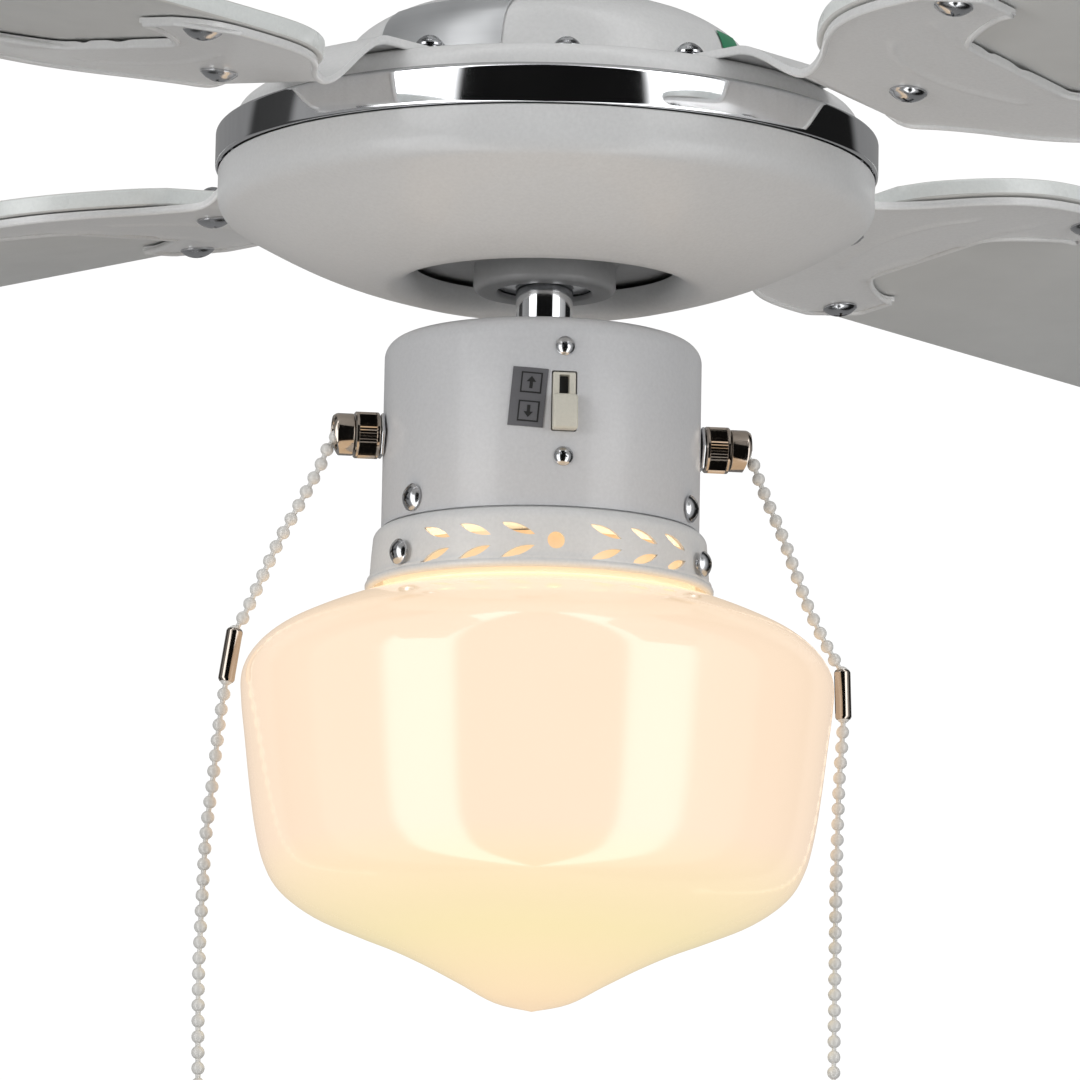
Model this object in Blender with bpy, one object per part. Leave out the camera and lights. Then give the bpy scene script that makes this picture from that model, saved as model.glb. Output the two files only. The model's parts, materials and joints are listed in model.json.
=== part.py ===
"""Ceiling fan with a light: four blades on a motor that hangs from a ceiling bracket, with a switch housing,
two pull chains and an opal glass shade under it.

Metres, +Z up. The origin is the middle of the bracket's top face, which lies on the ceiling, so everything is
below it. An azimuth is counted from -Y, towards +X as it grows.
"""

import math

import bmesh
import bpy
from mathutils import Matrix, Vector

GAP = 0.0003  # between pieces that rest on each other
FIT = 0.0004  # round a pin or a shank in its hole
ROUND, ROUND_SMALL, ROUND_NOSE, ROUND_SCREW = 32, 18, 14, 10  # sides of turned pieces, from the largest down

# Ceiling bracket and canopy.
PLATE_LENGTH, PLATE_WIDTH, PLATE_THICK = 0.104, 0.036, 0.002
CRADLE_WIDTH, CRADLE_DEPTH, CRADLE_WALL = 0.062, 0.046, 0.002
EAR_DEPTH = 0.020
CEILING_HOLE_R, CEILING_HOLE_AT = 0.0025, (0.0415, 0.0105)
BALL_R, BALL_Z = 0.019, -0.0315
CANOPY_R, CANOPY_DEPTH, CANOPY_WALL, CANOPY_HOLE_R = 0.065, 0.063, 0.0014, 0.0145
CANOPY_SCREW_R, CANOPY_SCREW_Z = 0.0020, -0.012
TERMINAL_SIZE, TERMINAL_Y = (0.011, 0.018, 0.013), -0.008

# Rod, pins and the coupling on the motor's shaft.
ROD_R, ROD_WALL, ROD_TOP, ROD_BOTTOM = 0.0095, 0.0015, -0.015, -0.120
PIN_R = 0.0030
BALL_PIN_LENGTH, COUPLING_PIN_LENGTH = 0.032, 0.036
COUPLING_R, COUPLING_TOP, COUPLING_BOTTOM = 0.0145, -0.098, -0.147
COUPLING_PIN_Z = -0.109

# Motor. BAND_Z is the lower edge of the chrome band, which most of the motor is placed from.
BAND_Z = -0.210
BAND_R, BAND_HEIGHT, BAND_WALL, BAND_LIP = 0.105, 0.012, 0.0010, 0.006
SHAFT_R, SHAFT_BORE_R = 0.0090, 0.0045
BEARING_R, BEARING_HEIGHT = 0.0175, 0.010
CASE_WALL, CASE_LIP_CORNER_R = 0.0016, 0.006
CASE_LIP_R, CASE_LIP_Z, CASE_FLANGE_Z = BAND_R - BAND_LIP, BAND_Z + 0.0136, BAND_Z + 0.0210
DOME_R, DOME_TOP_R, DOME_TOP_Z = 0.066, 0.027, BAND_Z + 0.056
PAN_FLANGE_R, PAN_R, PAN_FLOOR_Z = BAND_R - 0.004, 0.0835, BAND_Z - 0.012
BOSS_R, BOSS_HOLE_R, BOSS_BOTTOM_Z, BOSS_FLOOR_Z = 0.0225, 0.0150, BAND_Z - 0.0375, BAND_Z - 0.0275
COVER_R, COVER_RIM, COVER_WALL = BAND_R - BAND_WALL, 0.0085, 0.0012
COVER_CORNER_R, COVER_HUB_R, COVER_DEPTH, COVER_SAG = 0.0075, 0.050, 0.0365, 0.0022
COVER_LIP_R = 0.008  # of the round edge that turns up into the hub opening
STATOR_R, STATOR_HEIGHT, STATOR_Z, STATOR_SLOTS = 0.060, 0.020, BAND_Z + 0.002, 12
SLOT_WIDTH, SLOT_FLOOR_R = 0.008, 0.036
WINDING_INNER_R, WINDING_OUTER_R, WINDING_RISE = 0.039, 0.056, 0.009
AIR_GAP, ROTOR_RING_WIDTH = 0.0008, 0.016

# Blade irons and blades. The pitch lifts the side of the blade that leads clockwise from above.
BLADE_COUNT, FIRST_BLADE_AZIMUTH = 4, 47.7
PITCH = math.atan(0.131)
IRON_THICK, IRON_PLANE_Z = 0.0015, BAND_Z + 0.0065
IRON_INNER_R, IRON_NECK_R = 0.070, BAND_R - 0.004
IRON_FLAT_R = IRON_NECK_R + 0.029  # where the leaf starts to lie flat on its blade
IRON_LOBE_R, IRON_MIDDLE_R = IRON_FLAT_R + 0.091, IRON_FLAT_R + 0.061
# (distance beyond IRON_FLAT_R, half width) along the iron, and down the side of the blade's root.
IRON_WIDTHS = ((-0.060, 0.0265), (-0.012, 0.0255), (0.001, 0.0275), (0.014, 0.0370), (0.026, 0.0490), (0.038, 0.0575),
               (0.052, 0.0625), (0.070, 0.0645), (0.081, 0.0637), (0.087, 0.0600), (0.091, 0.0530))
BLADE_ROOT = ((0.009, 0.0300), (0.015, 0.0405), (0.026, 0.0515), (0.038, 0.0595), (0.052, 0.0645), (0.072, 0.0665))
BLADE_THICK, BLADE_TIP_R, BLADE_TIP_HALF, BLADE_CORNER_R = 0.0058, 0.533, 0.083, 0.026

# Switch housing and what it holds.
HOUSING_R, HOUSING_WALL, HOUSING_CORNER_R = 0.050, 0.0014, 0.006
HOUSING_TOP, HOUSING_BOTTOM = BAND_Z - 0.054, BAND_Z - 0.1142
SWITCH_AZIMUTH, SWITCH_Z = 7.7, BAND_Z - 0.0815
SWITCH_WINDOW = (0.0080, 0.0190)
SWITCH_GROOVE = (0.0032, 0.0165)
SWITCH_DEPTH, SWITCH_PROUD = 0.0120, 0.0002
KNOB_SIZE, KNOB_HEAD, KNOB_CLEARANCE = (0.0078, 0.0113), 0.0042, 0.0007
KNOB_STEM, KNOB_STEM_RISE = (0.0070, 0.0050), 0.0012
PULL_Z = BAND_Z - 0.0855
NIPPLE_R, NIPPLE_BORE_R = 0.0047, 0.0030
COLLAR_R, COLLAR_LENGTH = 0.00735, 0.0078
NOSE_R, NOSE_LENGTH, NOSE_BORE_R, NOSE_SLANT = 0.00665, 0.0065, 0.0046, math.radians(19.5)
LOCK_NUT_R, LOCK_NUT_LENGTH = 0.0076, 0.0014
PULL_BODY = (0.020, 0.017, 0.015)
CAPACITOR_SIZE = (0.036, 0.024, 0.015)
SHAFT_NUT_R, SHAFT_NUT_HEIGHT = 0.0135, 0.005

# Light kit.
FITTER_TOP_R, FITTER_BOTTOM_R, FITTER_WALL, FITTER_CORNER_R = 0.0525, 0.0547, 0.0012, 0.0040
FITTER_TOP, FITTER_BOTTOM = HOUSING_BOTTOM - GAP, BAND_Z - 0.134
FITTER_COLLAR_R, FITTER_COLLAR_RISE = HOUSING_R - HOUSING_WALL - FIT, 0.0075
HOLE_Z, HOLE_STEP, HOLE_SPREAD = BAND_Z - 0.1256, 15.0, 0.0072
LEAF_HALF, LEAF_SLANT, DOT_R, DOT_SHIFT = (0.0056, 0.0013), 20, 0.0027, -2.3
SCREW_R, SCREW_HEAD_R, SCREW_HEAD_HEIGHT, THUMBSCREW_HEAD_R = 0.0017, 0.0043, 0.0026, 0.0040
HOUSING_SCREW_Z, THUMBSCREW_Z = BAND_Z - 0.1092, BAND_Z - 0.1268
LAMPHOLDER_R, LAMPHOLDER_DEPTH = 0.0190, 0.026
BULB_R, BULB_BASE_R, BULB_TOP, BULB_BOTTOM = 0.0225, 0.0128, BAND_Z - 0.1230, BAND_Z - 0.2080
SHADE_WALL, SHADE_NECK_R = 0.0028, 0.0490
SHADE_NECK_TOP = BAND_Z - 0.1220
SHADE_PROFILE = ((0.0500, -0.1343), (0.0600, -0.1358), (0.0720, -0.1402), (0.0820, -0.1465), (0.0890, -0.1535),
                 (0.0926, -0.1610), (0.0925, -0.1700), (0.0912, -0.1810), (0.0892, -0.2000), (0.0872, -0.2130),
                 (0.0845, -0.2220), (0.0797, -0.2300), (0.0700, -0.2370), (0.0566, -0.2430), (0.0450, -0.2475),
                 (0.0345, -0.2520), (0.0230, -0.2580), (0.0120, -0.2638))
SHADE_TIP = -0.2665

# Chains: (distance from the fan's axis, height above the band) along each one, from inside its collar.
CHAIN_R, CHAIN_COUPLING_R, CHAIN_CLEARANCE = 0.0020, 0.0022, 0.0012
END_KNOB_R, END_KNOB_LENGTH = 0.0050, 0.018
FAN_CHAIN_UPPER = ((0.0555, -0.0855), (0.0600, -0.0855), (0.0640, -0.0857), (0.0668, -0.0875), (0.0690, -0.0935),
                   (0.0730, -0.1030), (0.0775, -0.1130), (0.0820, -0.1250), (0.0868, -0.1370), (0.0925, -0.1480),
                   (0.0968, -0.1550))
FAN_CHAIN_LOWER = ((0.0973, -0.1690), (0.0970, -0.1770), (0.0962, -0.1900), (0.0957, -0.2130), (0.0955, -0.2350),
                   (0.0955, -0.2600), (0.0955, -0.2960))
LIGHT_CHAIN_UPPER = ((0.0555, -0.0855), (0.0600, -0.0855), (0.0640, -0.0858), (0.0668, -0.0878), (0.0695, -0.0950),
                     (0.0760, -0.1080), (0.0822, -0.1200), (0.0878, -0.1330), (0.0925, -0.1440), (0.0955, -0.1495))
LIGHT_CHAIN_LOWER = ((0.0977, -0.1645), (0.0995, -0.1780), (0.1012, -0.1970), (0.1028, -0.2130), (0.1036, -0.2350),
                     (0.1040, -0.2550), (0.1038, -0.2720), (0.1032, -0.2960))

COLOURS = {
    "white_paint": ((0.80, 0.80, 0.79), 0.35, 0.0),
    "housing_paint": ((0.74, 0.74, 0.74), 0.45, 0.0),
    "blade_foil": ((0.78, 0.78, 0.76), 0.45, 0.0),
    "chrome": ((0.85, 0.86, 0.88), 0.06, 1.0),
    "steel": ((0.62, 0.63, 0.65), 0.30, 1.0),
    "nickel": ((0.50, 0.44, 0.38), 0.22, 1.0),
    "laminated_steel": ((0.30, 0.30, 0.32), 0.45, 1.0),
    "copper": ((0.65, 0.30, 0.16), 0.35, 1.0),
    "black_plastic": ((0.03, 0.03, 0.03), 0.50, 0.0),
    "ivory_plastic": ((0.80, 0.76, 0.66), 0.40, 0.0),
    "chain_plastic": ((0.86, 0.85, 0.82), 0.30, 0.0),
    "porcelain": ((0.85, 0.85, 0.83), 0.25, 0.0),
    "opal_glass": ((0.95, 0.90, 0.82), 0.10, 0.0),
}


def start_scene():
    """Removes whatever the scene holds."""
    for found in list(bpy.data.objects):
        bpy.data.objects.remove(found, do_unlink=True)


def material(name):
    """The Principled material with this name, made the first time that it is asked for."""
    made = bpy.data.materials.get(name)
    if made is None:
        colour, roughness, metallic = COLOURS[name]
        made = bpy.data.materials.new(name)
        made.use_nodes = True
        shader = made.node_tree.nodes["Principled BSDF"]
        shader.inputs["Base Color"].default_value = (*colour, 1)
        shader.inputs["Roughness"].default_value = roughness
        shader.inputs["Metallic"].default_value = metallic
    return made


def direction(azimuth):
    """Unit vector away from the fan's axis at this azimuth."""
    turn = math.radians(azimuth)
    return Vector((math.sin(turn), -math.cos(turn), 0))


def outward(azimuth, distance=0.0, height=0.0):
    """Matrix of a frame whose +Z points away from the fan's axis at this azimuth, and whose +Y points up."""
    out = direction(azimuth)
    up = Vector((0, 0, 1))
    across = up.cross(out)
    turn = Matrix((across, up, out)).transposed().to_4x4()
    return Matrix.Translation(out * distance + up * height) @ turn


def put(bm, name, finish, smooth=None):
    """Makes the bmesh an object of this name, with its faces pointing out."""
    bmesh.ops.remove_doubles(bm, verts=bm.verts, dist=1e-6)
    bmesh.ops.recalc_face_normals(bm, faces=bm.faces)
    mesh = bpy.data.meshes.new(name)
    bm.to_mesh(mesh)
    bm.free()
    if smooth is not None:
        mesh.shade_smooth()
        mesh.set_sharp_from_angle(angle=math.radians(smooth))
    mesh.materials.append(material(finish))
    made = bpy.data.objects.new(name, mesh)
    bpy.context.scene.collection.objects.link(made)
    return made


def helper(made):
    """Marks an object as a cutter or a guide, which isn't a piece of the fan."""
    made.hide_render = True
    made.display_type = "WIRE"
    return made


def boolean(target, tool, operation="DIFFERENCE"):
    """Adds an exact Boolean of the tool to the target."""
    change = target.modifiers.new(tool.name, "BOOLEAN")
    change.operation = operation
    change.solver = "EXACT"
    change.object = helper(tool)


def turned_mesh(profile, steps, place):
    """Bmesh of a closed (radius, height) outline spun round +Z, then moved by a matrix."""
    bm = bmesh.new()
    ring = [bm.verts.new((radius, 0, height)) for radius, height in profile]
    for first, second in zip(ring, ring[1:] + ring[:1]):
        bm.edges.new((first, second))
    bmesh.ops.spin(bm, geom=bm.verts[:] + bm.edges[:], cent=(0, 0, 0), axis=(0, 0, 1),
                   angle=math.tau, steps=steps, use_merge=True)
    bmesh.ops.remove_doubles(bm, verts=bm.verts, dist=1e-6)
    flat = [face for face in bm.faces if face.calc_area() < 1e-14]
    bmesh.ops.delete(bm, geom=flat, context="FACES")
    bmesh.ops.transform(bm, matrix=place, verts=bm.verts)
    return bm


def turned(name, profile, finish, steps=ROUND, place=Matrix.Identity(4), smooth=35):
    """Object turned from a closed outline of (radius, height) points."""
    return put(turned_mesh(profile, steps, place), name, finish, smooth)


def sleeve(name, inner, outer, low, high, finish, steps=ROUND_SMALL, place=Matrix.Identity(4)):
    """Plain tube between two radii and two heights, or a rod where the inner radius is 0."""
    return turned(name, ((inner, low), (outer, low), (outer, high), (inner, high)), finish, steps, place)


def block(name, size, finish, place=Matrix.Identity(4)):
    """Box of this size, centred, then moved by a matrix."""
    bm = bmesh.new()
    bmesh.ops.create_cube(bm, size=1, matrix=place @ Matrix.Diagonal((*size, 1)))
    return put(bm, name, finish)


def prism(name, outline, low, high, finish, place=Matrix.Identity(4)):
    """Flat outline of (x, y) points given the thickness between two heights."""
    bm = bmesh.new()
    face = bm.faces.new([bm.verts.new((x, y, low)) for x, y in outline])
    grown = bmesh.ops.extrude_face_region(bm, geom=[face])
    top = [item for item in grown["geom"] if isinstance(item, bmesh.types.BMVert)]
    bmesh.ops.translate(bm, verts=top, vec=(0, 0, high - low))
    bmesh.ops.transform(bm, matrix=place, verts=bm.verts)
    return put(bm, name, finish)


def arc(centre, radius, start, end, steps):
    """(x, y) points on an arc, from the start angle to the end angle in degrees."""
    turns = [math.radians(start + (end - start) * i / steps) for i in range(steps + 1)]
    return [(centre[0] + radius * math.cos(t), centre[1] + radius * math.sin(t)) for t in turns]


def between(stations, at):
    """Value at a place along (place, value) stations, straight between two of them."""
    for (near, low), (far, high) in zip(stations, stations[1:]):
        if at <= far:
            return low + (high - low) * max(0.0, (at - near) / (far - near))
    return stations[-1][1]


def ease(share):
    """Smooth step from 0 to 1."""
    share = min(1.0, max(0.0, share))
    return share * share * (3 - 2 * share)


def hex_nut(name, bore, radius, length, finish, place):
    """Six-sided nut with a round bore, standing on the place's +Z."""
    made = prism(name, arc((0, 0), radius, 0, 300, 5), 0, length, finish, place)
    boolean(made, sleeve(name + "_bore", 0, bore, -length, 2 * length, finish, ROUND_SMALL, place))
    return made


def screw(name, place, head_radius, shank_radius, length, finish="steel"):
    """Round-headed screw: the head rises along +Z from the place, and the shank runs the other way."""
    crown = SCREW_HEAD_HEIGHT
    profile = ((0, -length), (shank_radius, -length), (shank_radius, 0), (head_radius, 0),
               (head_radius, 0.35 * crown), (0.75 * head_radius, 0.8 * crown), (0.35 * head_radius, crown), (0, crown))
    return turned(name, profile, finish, ROUND_SCREW, place)


# ---- ceiling ----

def make_bracket():
    """Plate on the ceiling, with two ears for the canopy and a cradle that the ball sits in."""
    half_plate, half_cradle, half_width = PLATE_LENGTH / 2, CRADLE_WIDTH / 2, PLATE_WIDTH / 2
    outline = [(-half_plate, 0), (-half_plate, -EAR_DEPTH), (-half_plate + PLATE_THICK, -EAR_DEPTH),
               (-half_plate + PLATE_THICK, -PLATE_THICK), (-half_cradle, -PLATE_THICK), (-half_cradle, -CRADLE_DEPTH)]
    outline += [(-x, z) for x, z in reversed(outline)]
    upright = Matrix.Translation((0, half_width, 0)) @ Matrix.Rotation(math.radians(90), 4, "X")
    bracket = prism("hanger_bracket", outline, 0, PLATE_WIDTH, "steel", upright)
    inside = (CRADLE_WIDTH - 2 * CRADLE_WALL, 2 * PLATE_WIDTH, CRADLE_DEPTH - PLATE_THICK - CRADLE_WALL)
    middle = -PLATE_THICK - inside[2] / 2
    boolean(bracket, block("cradle_cut", inside, "steel", Matrix.Translation((0, 0, middle))))
    seat_z = -CRADLE_DEPTH + CRADLE_WALL
    seat_r = math.sqrt((BALL_R + GAP) ** 2 - (BALL_Z - seat_z) ** 2)
    boolean(bracket, sleeve("seat_cut", 0, seat_r, -2 * CRADLE_DEPTH, seat_z + CRADLE_WALL / 2, "steel"))
    for side in (-1, 1):
        drill = Matrix.Translation((side * CEILING_HOLE_AT[0], side * CEILING_HOLE_AT[1], -PLATE_THICK / 2))
        boolean(bracket, sleeve(f"plate_cut_{side}", 0, CEILING_HOLE_R, -0.006, 0.006, "steel", ROUND_SCREW, drill))
        ear = Matrix.Translation((side * half_plate, 0, CANOPY_SCREW_Z)) @ Matrix.Rotation(math.radians(90), 4, "Y")
        boolean(bracket, sleeve(f"ear_cut_{side}", 0, CANOPY_SCREW_R + FIT, -0.006, 0.006, "steel", ROUND_SCREW, ear))
    return bracket


def make_canopy():
    """Bell that hides the bracket, open at the ceiling, with a hole that leaves the rod room to swing."""
    deep, wall = -CANOPY_DEPTH, CANOPY_WALL
    outside = [(CANOPY_R, -GAP), (CANOPY_R, 0.40 * deep), (0.95 * CANOPY_R, 0.62 * deep),
               (0.80 * CANOPY_R, 0.83 * deep), (0.55 * CANOPY_R, 0.96 * deep), (CANOPY_HOLE_R, deep)]
    inside = [(CANOPY_HOLE_R, deep + wall), (0.54 * CANOPY_R, 0.96 * deep + wall),
              (0.80 * CANOPY_R - wall, 0.83 * deep + wall), (0.95 * CANOPY_R - wall, 0.62 * deep),
              (CANOPY_R - wall, 0.40 * deep), (CANOPY_R - wall, -GAP)]
    canopy = turned("canopy", outside + inside, "white_paint")
    for number, side in enumerate((-1, 1), 1):
        place = Matrix.Translation((side * CANOPY_R, 0, CANOPY_SCREW_Z)) @ Matrix.Rotation(side * math.radians(90), 4, "Y")
        boolean(canopy, sleeve(f"canopy_cut_{number}", 0, CANOPY_SCREW_R + FIT, -0.006, 0.006, "steel", ROUND_SCREW, place))
        head = place @ Matrix.Translation((0, 0, GAP))
        screw(f"canopy_screw_{number}", head, 0.0042, CANOPY_SCREW_R, CANOPY_R - PLATE_LENGTH / 2 + 0.004)


def make_terminal_block():
    """Connector for the house wiring, under the plate beside the cradle."""
    middle = (CRADLE_WIDTH / 2 + PLATE_LENGTH / 2 - PLATE_THICK) / 2
    drop = PLATE_THICK + GAP + TERMINAL_SIZE[2] / 2
    block("terminal_block", TERMINAL_SIZE, "ivory_plastic", Matrix.Translation((middle, TERMINAL_Y, -drop)))


# ---- rod and motor shaft ----

def cross_hole(target, name, height):
    """Drills the target along X for a pin."""
    place = Matrix.Translation((0, 0, height)) @ Matrix.Rotation(math.radians(90), 4, "Y")
    boolean(target, sleeve(name, 0, PIN_R + FIT, -0.04, 0.04, "steel", ROUND_SCREW, place))


def cross_pin(name, height, length):
    """Steel pin along X."""
    place = Matrix.Translation((0, 0, height)) @ Matrix.Rotation(math.radians(90), 4, "Y")
    sleeve(name, 0, PIN_R, -length / 2, length / 2, "steel", ROUND_SCREW, place)


def make_hanger():
    """Ball, rod, coupling and their two pins."""
    bore = ROD_R + GAP
    start = math.degrees(math.acos(bore / BALL_R))
    ball = turned("hanger_ball", arc((0, BALL_Z), BALL_R, -start, start, 8), "black_plastic", ROUND_SMALL)
    cross_hole(ball, "ball_pin_cut", BALL_Z)
    rod = sleeve("downrod", ROD_R - ROD_WALL, ROD_R, ROD_BOTTOM, ROD_TOP, "chrome")
    cross_hole(rod, "rod_top_cut", BALL_Z)
    cross_hole(rod, "rod_bottom_cut", COUPLING_PIN_Z)
    step = ROD_BOTTOM - GAP
    small, large = SHAFT_R + GAP, ROD_R + GAP
    coupling = turned("motor_coupling", ((small, COUPLING_BOTTOM), (COUPLING_R, COUPLING_BOTTOM),
                                         (COUPLING_R, COUPLING_TOP), (large, COUPLING_TOP), (large, step),
                                         (small, step)), "steel", ROUND_SMALL)
    cross_hole(coupling, "coupling_cut", COUPLING_PIN_Z)
    cross_pin("ball_pin", BALL_Z, BALL_PIN_LENGTH)
    cross_pin("coupling_pin", COUPLING_PIN_Z, COUPLING_PIN_LENGTH)


def make_shaft():
    """Hollow shaft that the stator is pressed on, and the nut that holds the switch housing on its end."""
    inside_housing = HOUSING_TOP - HOUSING_WALL - GAP
    end = inside_housing - SHAFT_NUT_HEIGHT - 0.002
    sleeve("motor_shaft", SHAFT_BORE_R, SHAFT_R, end, ROD_BOTTOM - 2 * GAP, "chrome")
    nut = Matrix.Translation((0, 0, inside_housing - SHAFT_NUT_HEIGHT))
    hex_nut("shaft_nut", SHAFT_R + GAP, SHAFT_NUT_R, SHAFT_NUT_HEIGHT, "steel", nut)


# ---- motor ----

def make_stator():
    """Slotted core on the shaft, and one winding that runs through all of its slots."""
    half_slot = SLOT_WIDTH / 2
    outline = []
    for tooth in range(STATOR_SLOTS):
        middle = math.tau * tooth / STATOR_SLOTS
        reach = math.asin(half_slot / STATOR_R)
        foot = math.asin(half_slot / SLOT_FLOOR_R)
        pitch = math.tau / STATOR_SLOTS
        for radius, turn in ((SLOT_FLOOR_R, middle + foot), (STATOR_R, middle + reach),
                             (STATOR_R, middle + pitch / 2), (STATOR_R, middle + pitch - reach),
                             (SLOT_FLOOR_R, middle + pitch - foot)):
            outline.append((radius * math.cos(turn), radius * math.sin(turn)))
    low, high = STATOR_Z - STATOR_HEIGHT / 2, STATOR_Z + STATOR_HEIGHT / 2
    core = prism("stator_core", outline, low, high, "laminated_steel")
    boolean(core, sleeve("core_bore", 0, SHAFT_R + GAP, low - 0.01, high + 0.01, "steel"))

    bars = bmesh.new()
    length = WINDING_OUTER_R - WINDING_INNER_R - 0.004
    for slot in range(STATOR_SLOTS):
        turn = Matrix.Rotation(math.tau * slot / STATOR_SLOTS, 4, "Z")
        place = turn @ Matrix.Translation(((WINDING_OUTER_R + WINDING_INNER_R) / 2, 0, STATOR_Z))
        size = (length, SLOT_WIDTH - 4 * FIT, STATOR_HEIGHT + WINDING_RISE)
        bmesh.ops.create_cube(bars, size=1, matrix=place @ Matrix.Diagonal((*size, 1)))
    bars = put(bars, "winding_bars", "copper")
    rings = []
    for name, near, far in (("stator_winding", high + FIT, high + WINDING_RISE),
                            ("winding_lower", low - FIT, low - WINDING_RISE)):
        bottom, top = min(near, far), max(near, far)
        middle = (WINDING_INNER_R + WINDING_OUTER_R) / 2
        profile = ((WINDING_INNER_R, bottom), (WINDING_OUTER_R, bottom), (WINDING_OUTER_R, top - 0.002),
                   (middle, top), (WINDING_INNER_R, top - 0.002))
        rings.append(turned(name, profile, "copper", 24))
    boolean(rings[0], bars, "UNION")
    boolean(rings[0], rings[1], "UNION")


def make_bearings():
    """Sealed bearings under the dome and in the pan's boss."""
    top = DOME_TOP_Z - CASE_WALL - GAP
    for name, low in (("upper_bearing", top - BEARING_HEIGHT), ("lower_bearing", BOSS_BOTTOM_Z + CASE_WALL + GAP)):
        sleeve(name, SHAFT_R + GAP, BEARING_R, low, low + BEARING_HEIGHT, "steel")


def make_motor_cases():
    """Upper case with its lip, flange and dome, and the pan that carries the lower bearing."""
    wall, flange, top = CASE_WALL, CASE_FLANGE_Z, DOME_TOP_Z
    hole = SHAFT_R + 0.004
    pocket = BEARING_R + GAP
    pocket_low = top - wall - GAP - BEARING_HEIGHT
    corner = CASE_LIP_CORNER_R
    lip = arc((CASE_LIP_R - corner, flange - corner), corner, 0, 90, 4)
    outside = [(CASE_LIP_R, CASE_LIP_Z)] + lip + [
        (DOME_R + 0.002, flange), (DOME_R, flange + 0.003), (0.0640, flange + 0.016), (0.0600, flange + 0.0215),
        (0.0500, flange + 0.0275), (0.0360, flange + 0.0315), (DOME_TOP_R, flange + 0.0330),
        (DOME_TOP_R - 0.001, top), (hole, top)]
    inside = [(hole, top - wall), (pocket, top - wall), (pocket, pocket_low), (pocket + wall, pocket_low),
              (DOME_TOP_R - wall, flange + 0.0330 - wall), (0.0360, flange + 0.0315 - wall),
              (0.0495, flange + 0.0275 - wall), (0.0600 - wall, flange + 0.0205), (0.0640 - wall, flange + 0.0150),
              (DOME_R - wall, flange), (DOME_R - wall, flange - wall), (CASE_LIP_R - corner, flange - wall),
              (CASE_LIP_R - wall, flange - corner), (CASE_LIP_R - wall, CASE_LIP_Z)]
    turned("motor_upper_case", outside + inside, "white_paint")

    rim = CASE_LIP_Z - GAP
    boss_pocket = BOSS_BOTTOM_Z + wall
    outside = [(PAN_FLANGE_R, rim - 0.001), (PAN_R, rim - 0.001), (PAN_R, PAN_FLOOR_Z),
               (0.060, BOSS_FLOOR_Z + 0.002), (BOSS_R + 0.004, BOSS_FLOOR_Z), (BOSS_R, BOSS_FLOOR_Z),
               (BOSS_R, BOSS_BOTTOM_Z), (BOSS_HOLE_R, BOSS_BOTTOM_Z)]
    inside = [(BOSS_HOLE_R, boss_pocket), (pocket, boss_pocket), (pocket, BOSS_FLOOR_Z + wall + 0.002),
              (BOSS_R + 0.004, BOSS_FLOOR_Z + wall + 0.002), (0.060 - wall, BOSS_FLOOR_Z + 0.002 + 1.4 * wall),
              (PAN_R - wall, PAN_FLOOR_Z + wall), (PAN_R - wall, rim), (PAN_FLANGE_R, rim)]
    turned("motor_lower_case", list(reversed(outside + inside)), "steel")


def make_band_and_cover():
    """Chrome band round the motor and the shallow cover under it."""
    low, high = BAND_Z, BAND_Z + BAND_HEIGHT
    inner, wall = BAND_R - BAND_WALL, BAND_WALL
    turned("chrome_band", ((BAND_R, low), (BAND_R, high), (BAND_R - BAND_LIP, high),
                           (BAND_R - BAND_LIP, high - wall), (inner, high - wall), (inner, low)), "chrome", 48)
    outside = cover_line(0.0)
    inside = cover_line(COVER_WALL)
    turned("lower_cover", outside + list(reversed(inside)), "white_paint")


def cover_line(inset):
    """(radius, height) points down the lower cover, set in by a wall: rim, corner, shallow bowl, turned-up hub edge."""
    top = BAND_Z - GAP
    centre = (COVER_R - COVER_CORNER_R, top - COVER_RIM)
    line = [(COVER_R - inset, top)] + arc(centre, COVER_CORNER_R - inset, 0, -62, 3)
    start, end = line[-1], (COVER_HUB_R, BAND_Z - COVER_DEPTH + inset)
    for step in range(1, 4):
        share = step / 4
        sag = COVER_SAG * math.sin(math.pi * share)
        line.append((start[0] + (end[0] - start[0]) * share, start[1] + (end[1] - start[1]) * share - sag))
    hub = (COVER_HUB_R, BAND_Z - COVER_DEPTH + COVER_LIP_R)
    return line + arc(hub, COVER_LIP_R - inset, -90, -180, 3)


def make_rotor_ring():
    """Laminated ring with the rotor's cage, round the stator."""
    inner = STATOR_R + AIR_GAP
    low, high = STATOR_Z - STATOR_HEIGHT / 2, STATOR_Z + STATOR_HEIGHT / 2
    sleeve("rotor_ring", inner, inner + ROTOR_RING_WIDTH, low, high, "laminated_steel", ROUND)


# ---- blades ----

def blade_frame(number):
    """Matrix whose +X runs out along a blade and whose +Y is the blade's trailing side, seen from above."""
    out = direction(FIRST_BLADE_AZIMUTH + 360 / BLADE_COUNT * number)
    up = Vector((0, 0, 1))
    return Matrix((out, up.cross(out), up)).transposed().to_4x4()


def pitched(height):
    """Matrix of a blade's tilted plane, which crosses the blade's long axis at this height."""
    return Matrix.Translation((0, 0, height)) @ Matrix.Rotation(-PITCH, 4, "X")


def iron_end(share):
    """Distance from the fan's axis of the iron's outer edge, at a share of its half width: two lobes and a dip."""
    lobe = ease((share - 0.35) / 0.40)
    return IRON_MIDDLE_R + (IRON_LOBE_R - IRON_MIDDLE_R) * lobe


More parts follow.
